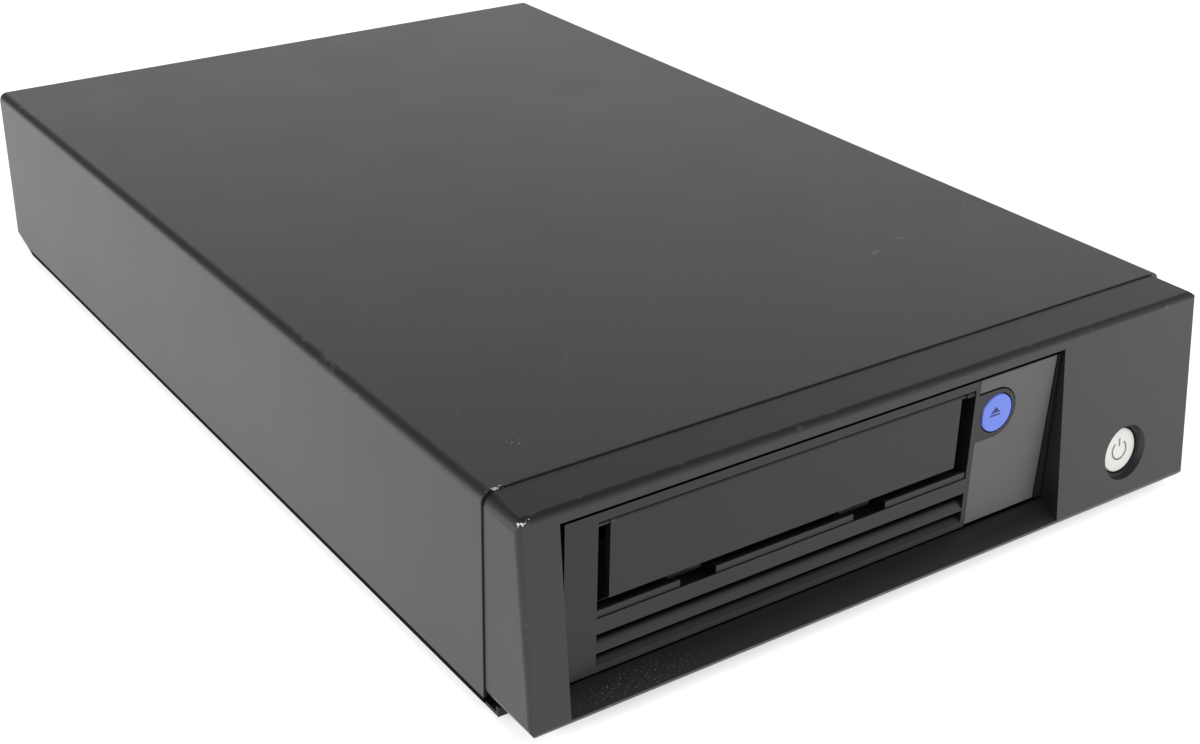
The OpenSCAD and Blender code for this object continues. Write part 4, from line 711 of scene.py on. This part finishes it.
FINISHES = {
    Slot.COVER: Finish(
        (0.018, 0.018, 0.0185), 0.34, grain=0.5, depth=0.02,
        mottle=0.14, cloud=30.0, spread=0.08, marks=COVER_MARKS,
    ),
    Slot.BEZEL: Finish(
        (0.0155, 0.0155, 0.0185), 0.34, grain=0.35, depth=0.014,
        mottle=0.12, cloud=24.0, spread=0.1, marks=BEZEL_MARKS,
    ),
    Slot.FACE: Finish(
        (0.012, 0.012, 0.0145), 0.38, grain=0.3, depth=0.014,
        mottle=0.14, spread=0.1, specular=0.36, marks=FACE_MARKS,
    ),
    Slot.PANEL: Finish((0.1, 0.1, 0.098), 0.45, specular=0.4, grain=0.3, depth=0.012, mottle=0.08),
    Slot.EJECT: Finish((0.15, 0.24, 0.86), 0.34, grain=0.3, depth=0.008, mottle=0.08, coat=0.15),
    Slot.BUTTON: Finish((0.88, 0.88, 0.84), 0.4, grain=0.3, depth=0.008, mottle=0.05, coat=0.1),
    Slot.PAN: Finish(
        (0.011, 0.011, 0.012), 0.5, grain=0.5, depth=0.02, specular=0.3,
        marks=(Scratches((0.08, 0.08, 0.08)),),
    ),
    Slot.FOOT: Finish((0.02, 0.02, 0.02), 0.8, grain=0.8, depth=0.06, mottle=0.3, specular=0.3),
    Slot.ZINC: Finish(
        (0.58, 0.59, 0.58), 0.34, grain=1.2, cloud=5.0, stretch=(1.0, 0.15, 1.0), **METAL
    ),
    Slot.CAST: Finish((0.55, 0.56, 0.57), 0.5, grain=0.5, cloud=9.0, **(METAL | {"depth": 0.04})),
    Slot.BLACK: Finish((0.025, 0.025, 0.026), 0.42, grain=0.35, depth=0.016, mottle=0.2),
    Slot.PALE: Finish((0.72, 0.71, 0.66), 0.42, grain=0.4, depth=0.012, mottle=0.06),
    Slot.GREEN_BOARD: BoardFinish((0.03, 0.16, 0.07), 0.35, grain=0.5, depth=0.01, coat=0.4),
    Slot.TAN_BOARD: BoardFinish(
        (0.35, 0.24, 0.09), 0.5, grain=0.6, depth=0.01,
        track=(0.44, 0.3, 0.12), pad=(0.6, 0.58, 0.55), pitch=3.4,
    ),
    Slot.CABLE: RibbonFinish((0.35, 0.37, 0.4), 0.45, grain=0.6, depth=0.012, mottle=0.08),
    Slot.LEAD: Finish((0.6, 0.45, 0.05), 0.4, grain=0.6, depth=0.01, mottle=0.1),
    Slot.BRASS: Finish((0.7, 0.55, 0.25), 0.28, grain=0.8, **METAL),
    Slot.STEEL: Finish((0.75, 0.75, 0.77), 0.22, grain=0.6, stretch=(1.0, 1.0, 0.2), **METAL),
}


# Pieces

def slot_of(node: str) -> Slot:
    """Return the record's material slot of a node."""
    parts = frame["record"]["subparts"]
    return next(Slot(part["material_slot"]) for part in parts if part["node"] == node)


def dress(nodes: Iterable[str]) -> None:
    """Give carried-over pieces their finish.

    Args:
        nodes: Names of the pieces.
    """
    for name in nodes:
        material = FINISHES[slot_of(name)].material(slot_of(name).value)
        piece = frame["nodes"][name]
        if not piece.material_slots:
            piece.data.materials.append(material)
        for place in piece.material_slots:
            place.link = "OBJECT"
            place.material = material


def add_piece(
    name: str, mesh: bpy.types.Mesh, body: str, material: bpy.types.Material
) -> bpy.types.Object:
    """Put a new mesh in the scene and on its body.

    Args:
        name: The piece's name.
        mesh: Its mesh, in metres in the model's frame.
        body: The body that it rides on.
        material: Its material.

    Returns:
        The new object.
    """
    mesh.materials.clear()
    mesh.materials.append(material)
    piece = bpy.data.objects.new(name, mesh)
    bpy.context.scene.collection.objects.link(piece)
    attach(piece, body)
    return piece


@dataclass
class SoftPiece:
    """A copy of a node's mesh with its sharp edges rounded a little.

    The copy marks its narrow rounded faces, so that a finish can wear there. Flat and sharp are
    the angles, in degrees, below which faces are joined and above which an edge is rounded.
    """

    node: str
    width: float = 0.25
    segments: int = 2
    merge: float = 0.002
    flat: float = 0.3
    sharp: float = 32.0
    narrow: float = 0.9
    bend: float = 0.05
    EDGE = "edge"

    def build(self) -> bpy.types.Object:
        """Build the copy, dress it and let it stand for the node.

        Returns:
            The new piece.
        """
        slot = slot_of(self.node)
        source = frame["nodes"][self.node]
        material = FINISHES[slot].material(slot.value)
        mesh = self.clean(source.data)
        piece = add_piece(self.node + "_soft", mesh, source["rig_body"], material)
        self.round(piece)
        self.mark(piece.data)
        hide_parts(self.node)
        return piece

    def clean(self, source: bpy.types.Mesh) -> bpy.types.Mesh:
        """Join the node's triangles into flat faces.

        Args:
            source: The node's mesh, which stays as it is.

        Returns:
            A new mesh.
        """
        form = bmesh.new()
        form.from_mesh(source)
        bmesh.ops.remove_doubles(form, verts=form.verts[:], dist=self.merge * MM)
        flat = math.radians(self.flat)
        bmesh.ops.dissolve_limit(form, angle_limit=flat, verts=form.verts[:], edges=form.edges[:])
        form.verts.index_update()
        points = [vert.co[:] for vert in form.verts]
        faces = [[vert.index for vert in face.verts] for face in form.faces]
        mesh = bpy.data.meshes.new(self.node + "_soft")
        mesh.from_pydata(points, [], faces)
        form.free()
        mesh.shade_smooth()
        mesh.set_sharp_from_angle(angle=math.radians(self.sharp))
        return mesh

    def round(self, piece: bpy.types.Object) -> None:
        """Round the sharp edges and even out the shading.

        Args:
            piece: The new object.
        """
        bevel = piece.modifiers.new("edges", "BEVEL")
        bevel.width = self.width * MM
        bevel.segments = self.segments
        bevel.limit_method = "ANGLE"
        bevel.angle_limit = math.radians(self.sharp)
        bevel.use_clamp_overlap = True
        bevel.harden_normals = True
        weighted = piece.modifiers.new("shading", "WEIGHTED_NORMAL")
        weighted.keep_sharp = True
        done = piece.evaluated_get(bpy.context.evaluated_depsgraph_get())
        mesh = bpy.data.meshes.new_from_object(done)
        piece.modifiers.clear()
        piece.data = mesh

    def mark(self, mesh: bpy.types.Mesh) -> None:
        """Mark the narrow faces that lie on a rounding.

        Args:
            mesh: The rounded mesh.
        """
        form = bmesh.new()
        form.from_mesh(mesh)
        values = []
        for face in form.faces:
            longest = max(edge.calc_length() for edge in face.edges)
            narrow = face.calc_area() < longest * self.narrow * MM
            joined = [edge for edge in face.edges if edge.is_manifold]
            bent = any(edge.calc_face_angle() > self.bend for edge in joined)
            values.append(float(narrow and bent))
        form.free()
        mesh.attributes.new(self.EDGE, "FLOAT", "FACE").data.foreach_set("value", values)


@dataclass
class Sign:
    """A sign printed on a button, as a film of ink.

    Offset is where its middle lies from the middle of the button's face, to the right and up.
    """

    name: str
    node: str
    outward: Point
    ink: Finish
    offset: Range = (0.0, 0.0)
    film: float = 0.03

    def build(self, outlines: Sequence[Outline]) -> bpy.types.Object:
        """Lay the sign on its button.

        Args:
            outlines: Closed outlines in millimetres, x to the right and y up.

        Returns:
            The new piece.
        """
        out = Vector(self.outward).normalized()
        right = Vector((0, 0, 1)).cross(out).normalized()
        up = out.cross(right)
        points = [v.co for v in frame["nodes"][self.node].data.vertices]
        depth = max(p.dot(out) for p in points)
        face = [p for p in points if depth - p.dot(out) < self.film * MM]
        middle = [
            (min(p.dot(axis) for p in face) + max(p.dot(axis) for p in face)) / 2
            for axis in (right, up)
        ]
        across, height = [value + shift * MM for value, shift in zip(middle, self.offset)]
        origin = right * across + up * height + out * depth
        form = bmesh.new()
        for outline in outlines:
            steps = [right * x + up * y + out * self.film for x, y in outline]
            form.faces.new([form.verts.new(origin + step * MM) for step in steps])
        bmesh.ops.recalc_face_normals(form, faces=form.faces[:])
        for face_made in form.faces:
            if face_made.normal.dot(out) < 0:
                face_made.normal_flip()
        walls = bmesh.ops.extrude_face_region(form, geom=form.faces[:])
        moved = [item for item in walls["geom"] if isinstance(item, bmesh.types.BMVert)]
        bmesh.ops.translate(form, verts=moved, vec=out * self.film * MM / 2)
        mesh = bpy.data.meshes.new(self.name)
        form.to_mesh(mesh)
        form.free()
        body = frame["nodes"][self.node]["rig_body"]
        return add_piece(self.name, mesh, body, self.ink.material(self.name))


@dataclass
class Assembly:
    """Pieces that belong together.

    Plain pieces keep their mesh. Soft ones are copies with edges rounded by the width given.
    """

    title: str
    plain: tuple[str, ...]
    soft: dict[str, float] = field(default_factory=dict)

    def build(self) -> None:
        """Build and dress every piece."""
        dress([*self.plain, *self.soft])
        for name in self.plain:
            LOG.info("%s: %s", self.title, name)
        for name, width in self.soft.items():
            piece = SoftPiece(name, width).build()
            LOG.info("%s: %s, %d faces", self.title, piece.name, len(piece.data.polygons))


@dataclass
class Enclosure(Assembly):
    """Folded cover, pan, rear panel, feet and screws."""

    title: str = "enclosure"
    plain: tuple[str, ...] = ("rubber_feet", "case_screws")
    soft: dict[str, float] = field(default_factory=dict)
    edge: float = 0.2

    def __post_init__(self) -> None:
        """Give the folded sheets their edges."""
        self.soft = {"top_cover": self.edge, "base_pan": self.edge, "rear_panel": self.edge}


@dataclass
class FrontBezel(Assembly):
    """Leaning bezel with the power button in its dish.

    Axis is the way that the button faces. Gap is half the opening of the sign's ring, in degrees.
    """

    title: str = "front bezel"
    plain: tuple[str, ...] = ("power_switch", "power_switch_board")
    soft: dict[str, float] = field(default_factory=dict)
    edge: float = 0.3
    button_edge: float = 0.45
    axis: Point = (0.0, -0.99375, 0.11164)
    ring: float = 2.6
    stroke: float = 0.52
    gap: float = 38.0
    stem: Range = (1.2, 3.4)
    steps: int = 40
    ink: Finish = Finish((0.22, 0.22, 0.21), 0.5, grain=0.3, depth=0.004)

    def __post_init__(self) -> None:
        """Give the bezel and the button their edges."""
        self.soft = {"front_bezel": self.edge, "power_button": self.button_edge}

    def build(self) -> None:
        """Build the pieces and print the power sign."""
        super().build()
        sign = Sign("power_sign", "power_button", self.axis, self.ink)
        LOG.info("%s: %s", self.title, sign.build(self.outlines()).name)

    def outlines(self) -> list[Outline]:
        """Draw the power sign.

        Returns:
            Its broken ring and its stem.
        """
        start, sweep = math.radians(90 + self.gap), math.radians(360 - 2 * self.gap)
        turns = [start + sweep * i / self.steps for i in range(self.steps + 1)]
        radii = self.ring + self.stroke / 2, self.ring - self.stroke / 2
        outer = [(radii[0] * math.cos(a), radii[0] * math.sin(a)) for a in turns]
        inner = [(radii[1] * math.cos(a), radii[1] * math.sin(a)) for a in reversed(turns)]
        half, (low, high) = self.stroke / 2, self.stem
        return [outer + inner, [(-half, low), (half, low), (half, high), (-half, high)]]


@dataclass
class DriveFront(Assembly):
    """Faceplate with its louvres, door, status panel and eject button.

    Bar and arrow are the width and height of the eject sign's parts, and gap lies between them.
    """

    title: str = "drive front"
    plain: tuple[str, ...] = ("door_spring",)
    soft: dict[str, float] = field(default_factory=dict)
    edge: float = 0.2
    door_edge: float = 0.3
    button_edge: float = 0.4
    bar: Range = (3.5, 0.42)
    arrow: Range = (3.3, 1.7)
    gap: float = 0.42
    axis: Point = (0.0, -1.0, 0.0)
    offset: Range = (-0.6, 0.7)
    ink: Finish = Finish((0.02, 0.025, 0.16), 0.5, grain=0.3, depth=0.004)

    def __post_init__(self) -> None:
        """Give the visible pieces their edges."""
        self.soft = {
            "faceplate": self.edge,
            "status_panel": self.edge,
            "cartridge_door": self.door_edge,
            "eject_button": self.button_edge,
        }

    def build(self) -> None:
        """Build the pieces and print the eject sign."""
        super().build()
        sign = Sign("eject_sign", "eject_button", self.axis, self.ink, self.offset)
        LOG.info("%s: %s", self.title, sign.build(self.outlines()).name)

    def outlines(self) -> list[Outline]:
        """Draw the eject sign.

        Returns:
            Its bar and its arrow.
        """
        wide, thick = self.bar[0] / 2, self.bar[1]
        half, tall = self.arrow[0] / 2, self.arrow[1]
        base = -(thick + self.gap + tall) / 2
        foot = base + thick + self.gap
        bar = [(-wide, base), (wide, base), (wide, base + thick), (-wide, base + thick)]
        return [bar, [(-half, foot), (half, foot), (0.0, foot + tall)]]


INNER = {
    "power supply": (
        "power_supply_case", "power_supply_board", "power_supply_parts",
        "inlet_socket", "inlet_pins", "power_lead",
    ),
    "cooling": ("fan_frame", "fan_screws", "fan_rotor"),
    "data ports": ("data_sockets", "data_inserts", "data_board", "data_cable"),
    "drive body": (
        "drive_base", "drive_cover", "drive_screws",
        "bracket_left", "bracket_right", "bracket_screws",
        "drive_connectors", "main_board", "board_shield", "front_board",
    ),
    "tape path": (
        "supply_motor", "supply_clutch", "takeup_motor", "takeup_reel", "roller_posts",
        "guide_roller_1", "guide_roller_2", "guide_roller_3", "guide_roller_4",
        "head_frame", "head_motor", "head_carriage", "tape_head", "lead_screw",
        "threader_arm", "leader_block",
    ),
    "loader": (
        "cartridge_tray", "cam_slider", "cam_rails", "loader_bracket",
        "loader_motor", "loader_gear", "loader_pinion",
    ),
}


# Studio

@dataclass(frozen=True)
class Softbox:
    """A square lamp that faces one point. A lamp that isn't mirrored shows in no reflection."""

    name: str
    place: Point
    target: Point
    side: float
    level: float
    mirrored: bool = True

    def build(self) -> bpy.types.Object:
        """Build the lamp. Level 1 lights a facing surface to about its own colour.

        Returns:
            The lamp.
        """
        data = bpy.data.lights.new(self.name, "AREA")
        away = Vector(self.target) - Vector(self.place)
        data.size = self.side * MM
        data.energy = self.level * (math.pi * away.length * MM) ** 2
        lamp = bpy.data.objects.new(self.name, data)
        lamp.visible_glossy = self.mirrored
        turn = away.to_track_quat("-Z", "Y").to_matrix().to_4x4()
        lamp.matrix_world = Matrix.Translation(Vector(self.place) * MM) @ turn
        bpy.context.scene.collection.objects.link(lamp)
        return lamp


@dataclass
class Studio:
    """Pale floor, white surroundings and soft lamps.

    The surroundings light the scene with fill. In reflections they darken overhead, from the
    first to the second height of falloff, and round the direction of flag. The floor glows a
    little where it is seen, by far_lift more from the first to the second distance of far.
    """

    floor_side: float = 9000.0
    floor_colour: Colour = (0.86, 0.86, 0.86)
    floor_roughness: float = 0.9
    floor_specular: float = 0.1
    floor_lift: float = 0.6
    fill: float = 0.3
    horizon: float = 0.9
    overhead: float = 0.16
    falloff: Range = (0.3, 0.76)
    flag: Point = (-0.41, 0.83, 0.37)
    flag_reach: Range = (0.34, 0.56)
    flag_level: float = 0.2
    far_lift: float = 0.28
    far: Range = (500.0, 1600.0)
    lamps: tuple[Softbox, ...] = (
        Softbox("lamp_left", (-1600, 250, 420), (0, 0, 40), 1100, 0.85),
        Softbox("lamp_top", (-60, -750, 1300), (0, -100, 40), 900, 0.35, mirrored=False),
        Softbox("lamp_front", (440, -580, 250), (80, -166, 30), 400, 0.5, mirrored=False),
    )

    def build(self) -> None:
        """Build the floor, the surroundings and the lamps."""
        self.floor()
        [lamp.build() for lamp in self.lamps]
        self.surroundings()
        bpy.context.scene.view_settings.view_transform = "Standard"
        LOG.info("studio: floor and %d lamps", len(self.lamps))

    def floor(self) -> bpy.types.Object:
        """Build the floor.

        Returns:
            The floor.
        """
        half = self.floor_side * MM / 2
        mesh = bpy.data.meshes.new("floor")
        points = [(-half, -half, 0), (half, -half, 0), (half, half, 0), (-half, half, 0)]
        mesh.from_pydata(points, [], [(0, 1, 2, 3)])
        made = bpy.data.materials.new("pale floor")
        made.use_nodes = True
        graph = Graph(made.node_tree)
        result = graph.add("ShaderNodeOutputMaterial")
        path = graph.add("ShaderNodeLightPath").outputs
        bent = graph.math("ADD", path["Is Glossy Ray"], path["Is Transmission Ray"])
        seen = graph.math("ADD", path["Is Camera Ray"], bent)
        away = graph.vector("LENGTH", graph.add("ShaderNodeTexCoord").outputs["Object"])
        far = graph.step(away, *[distance * MM for distance in self.far])
        lift = graph.math("MULTIPLY_ADD", far, self.far_lift, self.floor_lift)
        shader = graph.add("ShaderNodeBsdfPrincipled", {
            "Base Color": self.floor_colour,
            "Roughness": self.floor_roughness,
            "Specular IOR Level": self.floor_specular,
            "Emission Color": (1.0, 1.0, 1.0),
            "Emission Strength": graph.math("MULTIPLY", seen, lift),
        })
        graph.feed(result.inputs["Surface"], shader.outputs[0])
        mesh.materials.append(made)
        floor = bpy.data.objects.new("floor", mesh)
        bpy.context.scene.collection.objects.link(floor)
        return floor

    def surroundings(self) -> None:
        """Make the world white where it is seen and a soft fill where it lights."""
        world = bpy.data.worlds.new("surroundings")
        world.use_nodes = True
        bpy.context.scene.world = world
        graph = Graph(world.node_tree)
        path = graph.add("ShaderNodeLightPath").outputs
        ray = graph.add("ShaderNodeTexCoord").outputs["Generated"]
        height = graph.add("ShaderNodeSeparateXYZ", {0: ray}).outputs["Z"]
        sky = graph.ramp(height, self.falloff, (self.horizon, self.overhead))
        away = graph.vector("DISTANCE", ray, self.flag)
        flag = graph.ramp(away, self.flag_reach, (self.flag_level, 1.0))
        shade = graph.math("MULTIPLY", sky, flag)
        mirrored = graph.math("MULTIPLY", shade, path["Is Glossy Ray"])
        seen = graph.math("ADD", path["Is Camera Ray"], path["Is Transmission Ray"])
        lit = graph.math("MULTIPLY", path["Is Diffuse Ray"], self.fill)
        strength = graph.math("ADD", graph.math("ADD", seen, mirrored), lit)
        white = {"Color": (1.0, 1.0, 1.0), "Strength": strength}
        shader = graph.add("ShaderNodeBackground", white)
        graph.add("ShaderNodeOutputWorld", {"Surface": shader.outputs[0]})


@dataclass
class ViewCamera:
    """The camera at the photograph's place. Near is where it starts to see."""

    place: Point = (-275.18, -427.48, 253.94)
    target: Point = (-31.5, -59.53, 29.0)
    roll: float = 0.349
    lens: float = 54.27
    shift: Range = (0.0421, -0.0021)
    near: float = 10.0

    def build(self) -> bpy.types.Object:
        """Build the camera and look through it.

        Returns:
            The camera.
        """
        data = bpy.data.cameras.new("camera")
        data.lens = self.lens
        data.shift_x, data.shift_y = self.shift
        data.clip_start = self.near * MM
        ahead = (Vector(self.target) - Vector(self.place)).normalized()
        level = ahead.cross(Vector((0, 0, 1))).normalized()
        upright = level.cross(ahead)
        turn = math.radians(self.roll)
        right = level * math.cos(turn) + upright * math.sin(turn)
        up = upright * math.cos(turn) - level * math.sin(turn)
        axes = Matrix((right, up, -ahead)).transposed().to_4x4()
        camera = bpy.data.objects.new("camera", data)
        camera.matrix_world = Matrix.Translation(Vector(self.place) * MM) @ axes
        bpy.context.scene.collection.objects.link(camera)
        bpy.context.scene.camera = camera
        LOG.info("camera: lens %.1f", self.lens)
        return camera


def main() -> None:
    """Build every sub-assembly, the studio and the camera."""
    logging.basicConfig(level=logging.INFO, format="%(message)s")
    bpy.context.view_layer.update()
    assemblies = [Enclosure(), FrontBezel(), DriveFront()]
    assemblies += [Assembly(title, nodes) for title, nodes in INNER.items()]
    for assembly in assemblies:
        assembly.build()
    Studio().build()
    ViewCamera().build()


if __name__ == "__main__":
    main()
